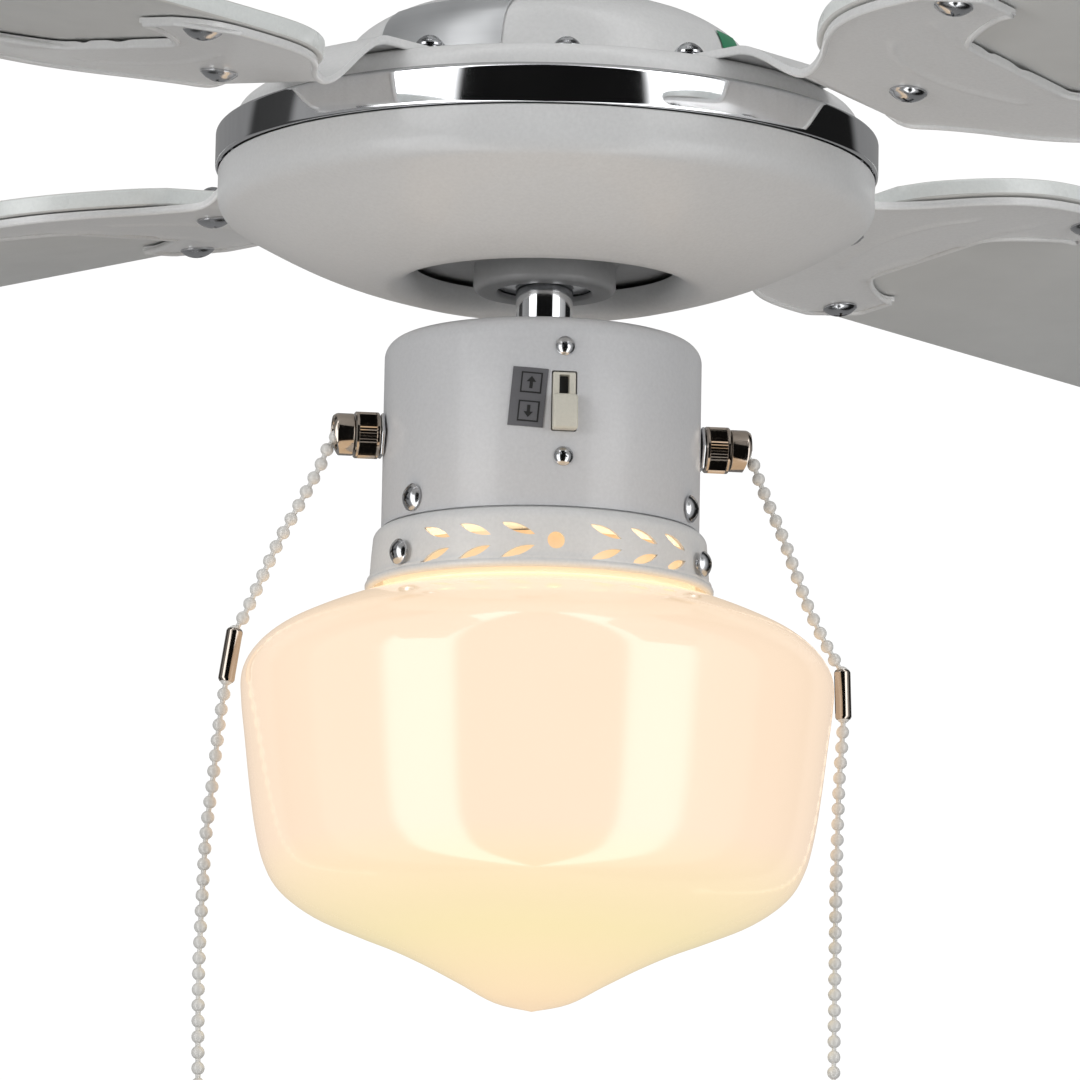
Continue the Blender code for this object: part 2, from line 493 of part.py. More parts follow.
def make_iron(number):
    """Stamped blade iron: flat on the motor's flange, a neck that steps down, and a leaf in the blade's plane."""
    across = (-1, -0.75, -0.5, -0.25, 0, 0.25, 0.5, 0.75, 1)
    foot_z = CASE_FLANGE_Z + GAP
    plane = pitched(IRON_PLANE_Z)
    along = (0.0, 0.16, 0.24, 0.30, 0.36, 0.42, 0.49, 0.56, 0.64, 0.74, 0.86, 0.935, 1.0)
    frame = blade_frame(number)
    bm = bmesh.new()
    layers = []
    for lift in (0.0, IRON_THICK):
        rows = []
        for stop in along:
            row = []
            for share in across:
                reach = IRON_INNER_R + (iron_end(abs(share)) - IRON_INNER_R) * stop
                side = share * between(IRON_WIDTHS, reach - IRON_FLAT_R)
                on_plane = plane @ Vector((reach, side, 0))
                drop = ease((reach - IRON_NECK_R) / (IRON_FLAT_R - IRON_NECK_R))
                height = foot_z + (on_plane.z - foot_z) * drop + lift
                row.append(bm.verts.new(frame @ Vector((reach, side, height))))
            rows.append(row)
        layers.append(rows)
    low, high = layers
    for i in range(len(along) - 1):
        for j in range(len(across) - 1):
            bm.faces.new((low[i][j], low[i][j + 1], low[i + 1][j + 1], low[i + 1][j]))
            bm.faces.new((high[i][j], high[i + 1][j], high[i + 1][j + 1], high[i][j + 1]))
    rim = [row[0] for row in low] + low[-1][1:] + [row[-1] for row in reversed(low)][1:] + low[0][-2:0:-1]
    top = [row[0] for row in high] + high[-1][1:] + [row[-1] for row in reversed(high)][1:] + high[0][-2:0:-1]
    for i in range(len(rim)):
        j = (i + 1) % len(rim)
        bm.faces.new((rim[i], rim[j], top[j], top[i]))
    return put(bm, f"blade_iron_{number + 1}", "white_paint", 40)


def blade_outline():
    """(distance along, distance across) points round a blade, widening to a tip with rounded corners."""
    root = [(IRON_FLAT_R + reach, half) for reach, half in BLADE_ROOT]
    centre = (BLADE_TIP_R - BLADE_CORNER_R, BLADE_TIP_HALF - BLADE_CORNER_R)
    side = root + arc(centre, BLADE_CORNER_R, 90, 0, 5)
    return side + [(reach, -half) for reach, half in reversed(side)]


def make_blade(number):
    """Flat blade lying on its iron."""
    place = blade_frame(number) @ pitched(IRON_PLANE_Z + IRON_THICK + 2 * GAP)
    return prism(f"blade_{number + 1}", blade_outline(), 0, BLADE_THICK, "blade_foil", place)


# ---- switch housing ----

def make_housing():
    """Closed cup on the shaft's end, with a window for the reversing switch and holes for the pull switches."""
    corner, wall = HOUSING_CORNER_R, HOUSING_WALL
    centre = (HOUSING_R - corner, HOUSING_TOP - corner)
    hole = SHAFT_R + GAP
    outside = [(hole, HOUSING_TOP)] + arc(centre, corner, 90, 0, 4) + [(HOUSING_R, HOUSING_BOTTOM)]
    inside = [(HOUSING_R - wall, HOUSING_BOTTOM)] + arc(centre, corner - wall, 0, 90, 4) + [(hole, HOUSING_TOP - wall)]
    housing = turned("switch_housing", list(reversed(outside + inside)), "housing_paint")
    window = outward(SWITCH_AZIMUTH, HOUSING_R, SWITCH_Z)
    boolean(housing, block("window_cut", (*SWITCH_WINDOW, 0.012), "steel", window))
    for number, azimuth in enumerate(pull_azimuths(), 1):
        place = outward(azimuth, HOUSING_R, PULL_Z)
        boolean(housing, sleeve(f"pull_cut_{number}", 0, NIPPLE_R + FIT, -0.006, 0.006, "steel", ROUND_SMALL, place))
    for number, azimuth in enumerate(fixing_azimuths(), 1):
        place = outward(azimuth, HOUSING_R, HOUSING_SCREW_Z)
        boolean(housing, sleeve(f"housing_cut_{number}", 0, SCREW_R + FIT, -0.006, 0.006, "steel", ROUND_SCREW, place))
        screw(f"housing_screw_{number}", place @ Matrix.Translation((0, 0, GAP)), SCREW_HEAD_R, SCREW_R, 0.0065)


def pull_azimuths():
    """Azimuths of the fan's and the light's pull switches."""
    return SWITCH_AZIMUTH + 90, SWITCH_AZIMUTH - 90


def fixing_azimuths():
    """Azimuths of the three screws of the housing, and of the three thumbscrews of the fitter."""
    return [SWITCH_AZIMUTH + offset for offset in (-60, 60, 180)]


def make_reversing_switch():
    """Slide switch behind its window, and its knob, which rests at the bottom of its travel."""
    frame = outward(SWITCH_AZIMUTH, 0, SWITCH_Z)
    width, height = SWITCH_WINDOW[0] - 2 * FIT, SWITCH_WINDOW[1] - 2 * FIT
    front = HOUSING_R + SWITCH_PROUD
    body = block("reversing_switch", (width, height, SWITCH_DEPTH), "ivory_plastic",
                 frame @ Matrix.Translation((0, 0, front - SWITCH_DEPTH / 2)))
    groove = (*SWITCH_GROOVE, 0.008)
    boolean(body, block("groove_cut", groove, "steel", frame @ Matrix.Translation((0, 0, front))))
    low = -SWITCH_WINDOW[1] / 2 + KNOB_SIZE[1] / 2
    place = frame @ Matrix.Translation((0, low, HOUSING_R + KNOB_CLEARANCE + KNOB_HEAD / 2))
    knob = block("reversing_knob", (*KNOB_SIZE, KNOB_HEAD), "ivory_plastic", place)
    stem = (SWITCH_GROOVE[0] - 2 * FIT, *KNOB_STEM)
    boolean(knob, block("knob_stem", stem, "ivory_plastic",
                        frame @ Matrix.Translation((0, low + KNOB_STEM_RISE, HOUSING_R - 0.0005))), "UNION")


def make_pull_switch(word, azimuth):
    """Pull switch inside the housing, with the nut, collar and nose that its chain comes out of."""
    inner = HOUSING_R - HOUSING_WALL
    frame = outward(azimuth, 0, PULL_Z)
    length = PULL_BODY[0]
    body = block(f"{word}_pull_switch", (PULL_BODY[1], PULL_BODY[2], length), "black_plastic",
                 frame @ Matrix.Translation((0, 0, inner - 0.0025 - length / 2)))
    nipple_end = HOUSING_R + LOCK_NUT_LENGTH + COLLAR_LENGTH - 0.001
    nipple = sleeve(f"{word}_nipple", 0, NIPPLE_R, inner - 0.005, nipple_end, "steel", ROUND_SCREW, frame)
    boolean(body, nipple, "UNION")
    bore = sleeve(f"{word}_bore", 0, NIPPLE_BORE_R, inner - 0.010, nipple_end + 0.01, "steel", ROUND_SCREW, frame)
    boolean(body, bore)
    nut_start = HOUSING_R + GAP
    hex_nut(f"{word}_lock_nut", NIPPLE_R + FIT, LOCK_NUT_R, LOCK_NUT_LENGTH - GAP, "nickel",
            frame @ Matrix.Translation((0, 0, nut_start)))
    collar_start = HOUSING_R + LOCK_NUT_LENGTH + GAP
    collar_end = collar_start + COLLAR_LENGTH
    sleeve(f"{word}_chain_collar", NIPPLE_R + FIT, COLLAR_R, collar_start, collar_end, "nickel", ROUND_SMALL, frame)
    nose_start = collar_end + GAP
    nose_end = nose_start + NOSE_LENGTH
    flare = NOSE_BORE_R + 0.0006
    nose = turned(f"{word}_chain_nose", ((NOSE_BORE_R, nose_start), (NOSE_R, nose_start), (NOSE_R, nose_end - 0.0012),
                                        (NOSE_R - 0.0008, nose_end), (flare, nose_end), (NOSE_BORE_R, nose_end - 0.003)),
                  "nickel", ROUND_NOSE, frame)
    slant = frame @ Matrix.Translation((0, -0.0005, nose_end)) @ Matrix.Rotation(NOSE_SLANT, 4, "X")
    cut = (0.030, 0.020, 0.012)
    boolean(nose, block(f"{word}_mouth_cut", cut, "steel", slant @ Matrix.Translation((0, -cut[1] / 2, cut[2] / 2))))


def make_capacitor():
    """Speed capacitor beside the shaft nut, against the back of the housing."""
    width, height, depth = CAPACITOR_SIZE
    reach = math.sqrt((HOUSING_R - HOUSING_WALL - 0.001) ** 2 - (width / 2) ** 2) - depth / 2
    place = outward(SWITCH_AZIMUTH + 180, reach, SWITCH_Z)
    block("capacitor", (width, height, depth), "black_plastic", place)


# ---- light kit ----

def make_fitter():
    """Cap that closes the housing and holds the glass, with a band of pierced leaves round it."""
    wall = FITTER_WALL
    corner = FITTER_CORNER_R
    shoulder = (FITTER_TOP_R - corner, FITTER_TOP - corner)
    collar_top = FITTER_TOP + FITTER_COLLAR_RISE
    outside = [(FITTER_COLLAR_R, collar_top), (FITTER_COLLAR_R, FITTER_TOP)] + arc(shoulder, corner, 90, 0, 3) + [
        (FITTER_TOP_R + 0.0006, FITTER_TOP - 0.009), (FITTER_BOTTOM_R, FITTER_BOTTOM + 0.003),
        (FITTER_BOTTOM_R - 0.0006, FITTER_BOTTOM)]
    inside = [(FITTER_BOTTOM_R - 0.0006 - wall, FITTER_BOTTOM), (FITTER_BOTTOM_R - wall, FITTER_BOTTOM + 0.003),
              (FITTER_TOP_R + 0.0006 - wall, FITTER_TOP - 0.009)] + arc(shoulder, corner - wall, 0, 90, 3) + [
        (LAMPHOLDER_R - 0.006, FITTER_TOP - wall), (LAMPHOLDER_R - 0.006, FITTER_TOP),
        (FITTER_COLLAR_R - wall, FITTER_TOP), (FITTER_COLLAR_R - wall, collar_top)]
    fitter = turned("fitter", list(reversed(outside + inside)), "white_paint")
    for number, azimuth in enumerate(fixing_azimuths(), 1):
        collar = outward(azimuth, FITTER_COLLAR_R, HOUSING_SCREW_Z)
        boolean(fitter, sleeve(f"collar_cut_{number}", 0, SCREW_R + FIT, -0.004, 0.004, "steel", ROUND_SCREW, collar))
        wall_place = outward(azimuth, FITTER_BOTTOM_R, THUMBSCREW_Z)
        boolean(fitter, sleeve(f"thumb_cut_{number}", 0, SCREW_R + FIT, -0.006, 0.006, "steel", ROUND_SCREW, wall_place))
    boolean(fitter, leaf_cutter())
    return fitter


def leaf_cutter():
    """All the pierced holes: one round one under the switch, and three pairs of slanted leaves on each side of it."""
    bm = bmesh.new()
    turns = [math.tau * i / 6 for i in range(6)]
    leaf = [(LEAF_HALF[0] * math.cos(turn), LEAF_HALF[1] * math.sin(turn)) for turn in turns]
    dot = arc((0, 0), DOT_R, 0, 300, 5)
    places = [(SWITCH_AZIMUTH + DOT_SHIFT, 0.0, 0.0, dot)]
    for side in (-1, 1):
        for pair in range(1, 4):
            azimuth = SWITCH_AZIMUTH + side * pair * HOLE_STEP
            for up in (-1, 1):
                places.append((azimuth, up * HOLE_SPREAD / 2, math.radians(-LEAF_SLANT * up), leaf))
    for azimuth, rise, slant, outline in places:
        frame = outward(azimuth, FITTER_TOP_R - 0.006, HOLE_Z + rise) @ Matrix.Rotation(slant, 4, "Z")
        face = bm.faces.new([bm.verts.new(frame @ Vector((x, y, 0))) for x, y in outline])
        grown = bmesh.ops.extrude_face_region(bm, geom=[face])
        far = [item for item in grown["geom"] if isinstance(item, bmesh.types.BMVert)]
        bmesh.ops.translate(bm, verts=far, vec=direction(azimuth) * 0.014)
    return put(bm, "leaf_cuts", "steel")


def make_thumbscrews():
    """Three screws through the fitter that bear on the glass shade's neck."""
    for number, azimuth in enumerate(fixing_azimuths(), 1):
        face = FITTER_BOTTOM_R + GAP
        place = outward(azimuth, face, THUMBSCREW_Z)
        screw(f"thumbscrew_{number}", place, THUMBSCREW_HEAD_R, SCREW_R, face - SHADE_NECK_R - 2 * GAP)


def make_lamp():
    """Lampholder hanging in the fitter and the bulb in it."""
    top = FITTER_TOP - FITTER_WALL - GAP
    bottom = top - LAMPHOLDER_DEPTH
    bore = BULB_BASE_R + FIT
    turned("lampholder", ((0, top), (0, top - 0.006), (bore, top - 0.006), (bore, bottom), (LAMPHOLDER_R - 0.002, bottom),
                          (LAMPHOLDER_R, bottom + 0.003), (LAMPHOLDER_R, top - 0.004), (LAMPHOLDER_R - 0.003, top)),
           "porcelain", ROUND_SMALL)
    centre_z = BULB_BOTTOM + BULB_R
    globe = arc((0, centre_z), BULB_R, -90, 48, 9)
    turned("bulb", globe + [(BULB_BASE_R, bottom - 0.002), (BULB_BASE_R, top - 0.008), (0.006, top - 0.0068), (0, top - 0.0068)],
           "opal_glass", 24)


def make_shade():
    """Thin opal shade: a neck inside the fitter, a wide shoulder, a drum that narrows, and a soft point."""
    outer = [(radius, BAND_Z + height) for radius, height in SHADE_PROFILE] + [(0, BAND_Z + SHADE_TIP)]
    outside = [(SHADE_NECK_R, SHADE_NECK_TOP), (SHADE_NECK_R, outer[0][1] + 0.0012)] + outer
    inside = inset_line(outside, SHADE_WALL)
    thinned = inside[:2] + inside[2:-1:2] + inside[-1:]
    profile = outside + thinned[::-1]
    turned("glass_shade", list(reversed(profile)), "opal_glass", 30)


def inset_line(line, wall):
    """The same turned line, moved inwards by a wall along its normals."""
    moved = []
    for index, point in enumerate(line):
        before, after = line[max(0, index - 1)], line[min(len(line) - 1, index + 1)]
        along = Vector((after[0] - before[0], after[1] - before[1])).normalized()
        moved.append((max(0.0, point[0] + wall * along.y), point[1] - wall * along.x))
    moved[0] = (line[0][0] - wall, line[0][1])
    moved[-1] = (0.0, line[-1][1] + wall)
    return moved


# ---- chains ----

def smooth_route(points, spacing):
    """Points about this far apart on a smooth curve through the route's own points."""
    dense = []
    padded = [points[0] * 2 - points[1], *points, points[-1] * 2 - points[-2]]
    for before, start, end, after in zip(padded, padded[1:], padded[2:], padded[3:]):
        for step in range(8):
            t = step / 8
            dense.append(0.5 * (2 * start + (end - before) * t + (2 * before - 5 * start + 4 * end - after) * t * t
                                + (3 * start - 3 * end + after - before) * t ** 3))
    dense.append(points[-1])
    count = max(3, round(sum((b - a).length for a, b in zip(dense, dense[1:])) / spacing))
    total = sum((b - a).length for a, b in zip(dense, dense[1:]))
    chosen, walked, index = [dense[0]], 0.0, 0
    for number in range(1, count):
        goal = total * number / count
        while walked + (dense[index + 1] - dense[index]).length < goal:
            walked += (dense[index + 1] - dense[index]).length
            index += 1
        share = (goal - walked) / (dense[index + 1] - dense[index]).length
        chosen.append(dense[index].lerp(dense[index + 1], share))
    return chosen + [dense[-1]]


def chain_tube(name, azimuth, route):
    """Tube that stands for a stretch of bead chain."""
    points = [direction(azimuth) * out + Vector((0, 0, BAND_Z + height)) for out, height in route]
    points = smooth_route(points, 2.5 * 2 * CHAIN_R)
    line = bpy.data.curves.new(name, "CURVE")
    line.dimensions = "3D"
    line.bevel_depth = CHAIN_R
    line.bevel_resolution = 2
    line.use_fill_caps = True
    spline = line.splines.new("POLY")
    spline.points.add(len(points) - 1)
    for point, at in zip(spline.points, points):
        point.co = (*at, 1)
    line.materials.append(material("chain_plastic"))
    made = bpy.data.objects.new(name, line)
    bpy.context.scene.collection.objects.link(made)
    return points


def along(start, end):
    """Matrix at the start point whose +Z points to the end point."""
    turn = (end - start).to_track_quat("Z", "Y").to_matrix().to_4x4()
    return Matrix.Translation(start) @ turn


def make_chain(word, azimuth, upper, lower):
    """One pull chain: a stretch from the collar, a metal coupling, a longer stretch and the knob on its end."""
    first = chain_tube(f"{word}_chain_upper", azimuth, upper)
    second = chain_tube(f"{word}_chain_lower", azimuth, lower)
    gap = (second[0] - first[-1]).length - 2 * CHAIN_CLEARANCE
    place = along(first[-1], second[0]) @ Matrix.Translation((0, 0, CHAIN_CLEARANCE))
    sleeve(f"{word}_chain_coupling", 0, CHAIN_COUPLING_R, 0, gap, "nickel", ROUND_SCREW, place)
    place = along(second[-1], second[-1] * 2 - second[-2]) @ Matrix.Translation((0, 0, GAP))
    profile = ((0, 0), (0.4 * END_KNOB_R, 0), (0.8 * END_KNOB_R, 0.45 * END_KNOB_LENGTH),
               (END_KNOB_R, 0.75 * END_KNOB_LENGTH), (0.7 * END_KNOB_R, 0.95 * END_KNOB_LENGTH), (0, END_KNOB_LENGTH))
    turned(f"{word}_chain_knob", profile, "chain_plastic", ROUND_SCREW, place)


def main():
    start_scene()
    make_bracket()
    make_canopy()
    make_terminal_block()
    make_hanger()
    make_shaft()
    make_stator()
    make_bearings()
    make_motor_cases()
    make_band_and_cover()
    make_rotor_ring()
    for number in range(BLADE_COUNT):
        make_iron(number)
        make_blade(number)
    make_housing()
    make_reversing_switch()
    for word, azimuth in zip(("fan", "light"), pull_azimuths()):
        make_pull_switch(word, azimuth)
    make_capacitor()
    make_fitter()
    make_thumbscrews()
    make_lamp()
    make_shade()
    make_chain("fan", pull_azimuths()[0], FAN_CHAIN_UPPER, FAN_CHAIN_LOWER)
    make_chain("light", pull_azimuths()[1], LIGHT_CHAIN_UPPER, LIGHT_CHAIN_LOWER)


main()
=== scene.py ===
"""Looks of a ceiling fan with a light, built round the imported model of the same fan.

Metres, +Z up, with the origin on the ceiling. An azimuth is counted from -Y, towards +X as it grows.
"""

from __future__ import annotations

import json
import logging
import math
from collections.abc import Iterable, Sequence
from dataclasses import dataclass, field
from enum import Enum

import bmesh
import bpy
from mathutils import Matrix, Vector

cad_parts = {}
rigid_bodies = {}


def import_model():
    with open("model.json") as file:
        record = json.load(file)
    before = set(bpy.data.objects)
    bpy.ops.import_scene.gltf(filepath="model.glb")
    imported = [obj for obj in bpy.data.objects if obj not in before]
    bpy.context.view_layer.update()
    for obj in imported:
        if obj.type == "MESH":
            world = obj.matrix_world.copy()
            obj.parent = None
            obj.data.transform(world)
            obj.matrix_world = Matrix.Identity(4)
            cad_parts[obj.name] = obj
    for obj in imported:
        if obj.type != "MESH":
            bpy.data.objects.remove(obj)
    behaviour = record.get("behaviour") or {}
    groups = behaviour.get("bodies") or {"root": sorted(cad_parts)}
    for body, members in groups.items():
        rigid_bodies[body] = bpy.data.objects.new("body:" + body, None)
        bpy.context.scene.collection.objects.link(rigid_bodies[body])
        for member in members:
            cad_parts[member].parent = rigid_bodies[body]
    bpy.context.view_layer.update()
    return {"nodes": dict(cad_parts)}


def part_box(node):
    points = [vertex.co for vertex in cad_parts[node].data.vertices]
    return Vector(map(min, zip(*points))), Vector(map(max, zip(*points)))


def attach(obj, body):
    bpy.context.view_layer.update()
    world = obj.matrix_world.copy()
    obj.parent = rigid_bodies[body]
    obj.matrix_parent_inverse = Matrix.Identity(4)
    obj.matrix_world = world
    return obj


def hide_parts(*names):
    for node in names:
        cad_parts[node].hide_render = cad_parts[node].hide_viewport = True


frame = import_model()

LOG = logging.getLogger("ceiling_fan")

Colour = tuple[float, float, float]
Point2 = tuple[float, float]

GAP = 0.0003  # between pieces that rest on each other
FINE_STEPS, MID_STEPS, SMALL_STEPS = 160, 64, 32  # sides of a large, a middling and a small turned piece
BAND_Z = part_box("chrome_band")[0].z  # lower edge of the chrome band, which the motor is placed from
UP = Vector((0, 0, 1))


class Body(Enum):
    """Bodies of the frame that a piece can ride on."""

    CEILING = "ceiling_fixing"
    HANGING = "fan_frame"
    ROTOR = "rotor"
    REVERSING_KNOB = "reversing_knob"
    FAN_CHAIN = "fan_chain"
    LIGHT_CHAIN = "light_chain"
    THUMBSCREW_1 = "thumbscrew_1"
    THUMBSCREW_2 = "thumbscrew_2"
    THUMBSCREW_3 = "thumbscrew_3"


class Grain(Enum):
    """Patterns that a finish draws over its two colours."""

    ORANGE_PEEL = "sprayed enamel"
    BRUSHED = "fine lines round the axis"
    PLATED = "soft smears and hairline marks"
    FOIL = "long faint grain"
    LAMINATED = "stacked sheets"
    WOUND = "turns of wire"
    MOULDED = "fine spark-eroded skin"


# ---- places ----

def direction(azimuth: float) -> Vector:
    """Unit vector away from the fan's axis at an azimuth in degrees."""
    turn = math.radians(azimuth)
    return Vector((math.sin(turn), -math.cos(turn), 0))


def outward(azimuth: float, distance: float = 0.0, height: float = 0.0) -> Matrix:
    """Frame whose +Z points away from the fan's axis and whose +Y points up.

    Args:
        azimuth: Where round the axis, in degrees.
        distance: How far from the axis.
        height: World height.

    Returns:
        The frame's matrix.
    """
    out = direction(azimuth)
    turn = Matrix((UP.cross(out), UP, out)).transposed().to_4x4()
    return Matrix.Translation(out * distance + UP * height) @ turn


def along(start: Vector, end: Vector) -> Matrix:
    """Frame at the start point whose +Z points to the end point."""
    return Matrix.Translation(start) @ (end - start).to_track_quat("Z", "Y").to_matrix().to_4x4()


def arc(centre: Point2, radius: float, start: float, end: float, steps: int = 8) -> list[Point2]:
    """Points on an arc.

    Args:
        centre: Middle of the arc.
        radius: Its radius.
        start: First angle, in degrees.
        end: Last angle, in degrees.
        steps: Number of pieces that the arc is cut into.

    Returns:
        The points, both ends among them.
    """
    turns = [math.radians(start + (end - start) * i / steps) for i in range(steps + 1)]
    return [(centre[0] + radius * math.cos(t), centre[1] + radius * math.sin(t)) for t in turns]


def smooth_line(points: Sequence[Vector], steps: int) -> list[Vector]:
    """Smooth curve through points, with a number of steps between each two of them."""
    padded = [points[0] * 2 - points[1], *points, points[-1] * 2 - points[-2]]
    line = []
    for before, start, end, after in zip(padded, padded[1:], padded[2:], padded[3:]):
        for step in range(steps):
            t = step / steps
            slope, bend = end - before, 2 * before - 5 * start + 4 * end - after
            twist = 3 * start - 3 * end + after - before
            line.append(0.5 * (2 * start + slope * t + bend * t * t + twist * t ** 3))
    return [*line, points[-1]]


def smooth_profile(points: Sequence[Point2], steps: int = 5) -> list[Point2]:
    """The same smooth curve for a flat (radius, height) outline."""
    return [(max(0.0, p.x), p.y) for p in smooth_line([Vector(point) for point in points], steps)]


def even_line(line: Sequence[Vector], spacing: float) -> list[Vector]:
    """Points an equal distance apart along a line.

    Args:
        line: The line's own points.
        spacing: Distance wanted, which is stretched a little to fit the length.

    Returns:
        The new points, both ends among them.
    """
    total = sum((b - a).length for a, b in zip(line, line[1:]))
    count = max(2, round(total / spacing))
    chosen, walked, index = [line[0]], 0.0, 0
    for number in range(1, count):
        goal = total * number / count
        while walked + (line[index + 1] - line[index]).length < goal:
            walked += (line[index + 1] - line[index]).length
            index += 1
        share = (goal - walked) / (line[index + 1] - line[index]).length
        chosen.append(line[index].lerp(line[index + 1], share))
    return [*chosen, line[-1]]


def inset_profile(line: Sequence[Point2], wall: float) -> list[Point2]:
    """A turned line moved inwards by a wall along its normals."""
    moved = []
    for index, point in enumerate(line):
        before, after = line[max(0, index - 1)], line[min(len(line) - 1, index + 1)]
        run = Vector((after[0] - before[0], after[1] - before[1])).normalized()
        moved.append((max(0.0, point[0] + wall * run.y), point[1] - wall * run.x))
    return moved


def ease(share: float) -> float:
    """Smooth step from 0 to 1."""
    share = min(1.0, max(0.0, share))
    return share * share * (3 - 2 * share)


def between(stations: Sequence[Point2], at: float) -> float:
    """Value at a place along (place, value) stations, straight between two of them."""
    for (near, low), (far, high) in zip(stations, stations[1:]):
        if at <= far:
            return low + (high - low) * max(0.0, (at - near) / (far - near))
    return stations[-1][1]


# ---- finishes ----

class Recipe:
    """Node tree of one material, with short calls for the nodes that the finishes share."""

    def __init__(self, name: str) -> None:
        """Starts a material of this name with its Principled shader."""
        self.material = bpy.data.materials.new(name)
        self.material.use_nodes = True
        self.tree = self.material.node_tree
        self.shader = self.tree.nodes["Principled BSDF"]

    def node(self, kind: str, settings: dict | None = None, **inputs: object) -> bpy.types.Node:
        """Adds a node.

        Args:
            kind: Its type, without the word ShaderNode.
            settings: Values of the node's own properties.
            inputs: Values or sockets for its inputs, by name with _ for a space.

        Returns:
            The node.
        """
        made = self.tree.nodes.new("ShaderNode" + kind)
        for key, value in (settings or {}).items():
            setattr(made, key, value)
        for key, value in inputs.items():
            self.feed(made.inputs[key.replace("_", " ")], value)
        return made

    def feed(self, socket: bpy.types.NodeSocket, value: object) -> None:
        """Links a socket to an input, or sets its value."""
        if isinstance(value, bpy.types.NodeSocket):
            self.tree.links.new(value, socket)
        else:
            socket.default_value = value

    def spot(self, stretch: Colour = (1, 1, 1)) -> bpy.types.NodeSocket:
        """Object coordinates, stretched along each axis."""
        place = self.node("TexCoord").outputs["Object"]
        return self.node("Mapping", Vector=place, Scale=stretch).outputs[0]

    def noise(self, scale: float, detail: float = 3.0, stretch: Colour = (1, 1, 1)) -> bpy.types.NodeSocket:
        """Noise over object coordinates."""
        return self.node("TexNoise", Vector=self.spot(stretch), Scale=scale, Detail=detail).outputs[0]

    def ramp(self, factor: bpy.types.NodeSocket, low: float, high: float, first: Colour,
             last: Colour) -> bpy.types.NodeSocket:
        """Colour that goes from the first to the last as the factor goes from low to high."""
        made = self.node("ValToRGB", Fac=factor)
        ends = made.color_ramp.elements
        ends[0].position, ends[1].position = low, high
        ends[0].color, ends[1].color = (*first, 1), (*last, 1)
        return made.outputs[0]

    def span(self, factor: bpy.types.NodeSocket, low: float, high: float) -> bpy.types.NodeSocket:
        """Number that goes from low to high as the factor goes over the middle of its range."""
        return self.node("MapRange", Value=factor, From_Min=0.3, From_Max=0.7, To_Min=low,
                         To_Max=high).outputs[0]

    def mix(self, factor: object, first: object, second: object, mode: str = "MIX") -> bpy.types.NodeSocket:
        """Two colours mixed."""
        made = self.node("Mix", {"data_type": "RGBA", "blend_type": mode})
        self.feed(made.inputs[0], factor)
        self.feed(made.inputs[6], first)
        self.feed(made.inputs[7], second)
        return made.outputs[2]

    def bump(self, height: bpy.types.NodeSocket, strength: float, depth: float) -> None:
        """Gives the shader a bumped normal."""
        made = self.node("Bump", Height=height, Strength=strength, Distance=depth)
        self.feed(self.shader.inputs["Normal"], made.outputs[0])


@dataclass(frozen=True)
class Finish:
    """A surface: its slot, its two colours, its gloss and the grain that is drawn over it."""

    name: str
    slot: str
    light: Colour
    dark: Colour
    gloss: Point2  # lowest and highest roughness
    metallic: float = 0.0
    coat: float = 0.0
    grain: Grain = Grain.ORANGE_PEEL
    scale: float = 900.0
    relief: float = 0.00002
    glow: Colour | None = None
    glow_strength: float = 0.0

    def material(self) -> bpy.types.Material:
        """The material, made the first time that it is asked for."""
        made = bpy.data.materials.get(self.name)
        return made if made is not None else self.make()

    def make(self) -> bpy.types.Material:
        """Builds the material's nodes."""
        recipe = Recipe(self.name)
        shader = recipe.shader.inputs
        shader["Metallic"].default_value = self.metallic
        if self.coat:
            shader["Coat Weight"].default_value = self.coat
            shader["Coat Roughness"].default_value = 0.08
        fine = self.pattern(recipe)
        cloud = recipe.noise(22.0, 4.0)
        colour = recipe.ramp(cloud, 0.30, 0.70, self.dark, self.light)
        shade = recipe.ramp(fine, 0.25, 0.75, (0.93, 0.93, 0.93), (1, 1, 1))
        recipe.feed(shader["Base Color"], recipe.mix(1.0, colour, shade, "MULTIPLY"))
        recipe.feed(shader["Roughness"], recipe.span(recipe.noise(60.0, 5.0), *self.gloss))
        recipe.bump(fine, 0.6, self.relief)
        if self.glow:
            warm = recipe.ramp(cloud, 0.3, 0.7, tuple(0.96 * part for part in self.glow), self.glow)
            recipe.feed(shader["Emission Color"], warm)
            shader["Emission Strength"].default_value = self.glow_strength
        return recipe.material

    def pattern(self, recipe: Recipe) -> bpy.types.NodeSocket:
        """The grain's own pattern, as a number from 0 to 1."""
        if self.grain is Grain.BRUSHED:
            return recipe.noise(self.scale, 2.0, (0.06, 0.06, 1.0))
        if self.grain is Grain.PLATED:
            return recipe.noise(self.scale, 6.0, (1.0, 1.0, 0.2))
        if self.grain is Grain.FOIL:
            return recipe.noise(self.scale, 5.0, (0.10, 0.10, 1.0))
        if self.grain is Grain.LAMINATED:
            return recipe.node("TexWave", {"bands_direction": "Z"}, Vector=recipe.spot(), Scale=self.scale,
                               Distortion=0.4).outputs[1]
        if self.grain is Grain.WOUND:
            return recipe.node("TexWave", {"wave_type": "RINGS", "rings_direction": "Z"},
                               Vector=recipe.spot(), Scale=self.scale, Distortion=1.2, Detail=2.0).outputs[1]
        return recipe.noise(self.scale, 3.0 if self.grain is Grain.ORANGE_PEEL else 8.0)

    def dress(self, piece: bpy.types.Object) -> None:
        """Puts the material on a piece."""
        piece.data.materials.clear()
        piece.data.materials.append(self.material())


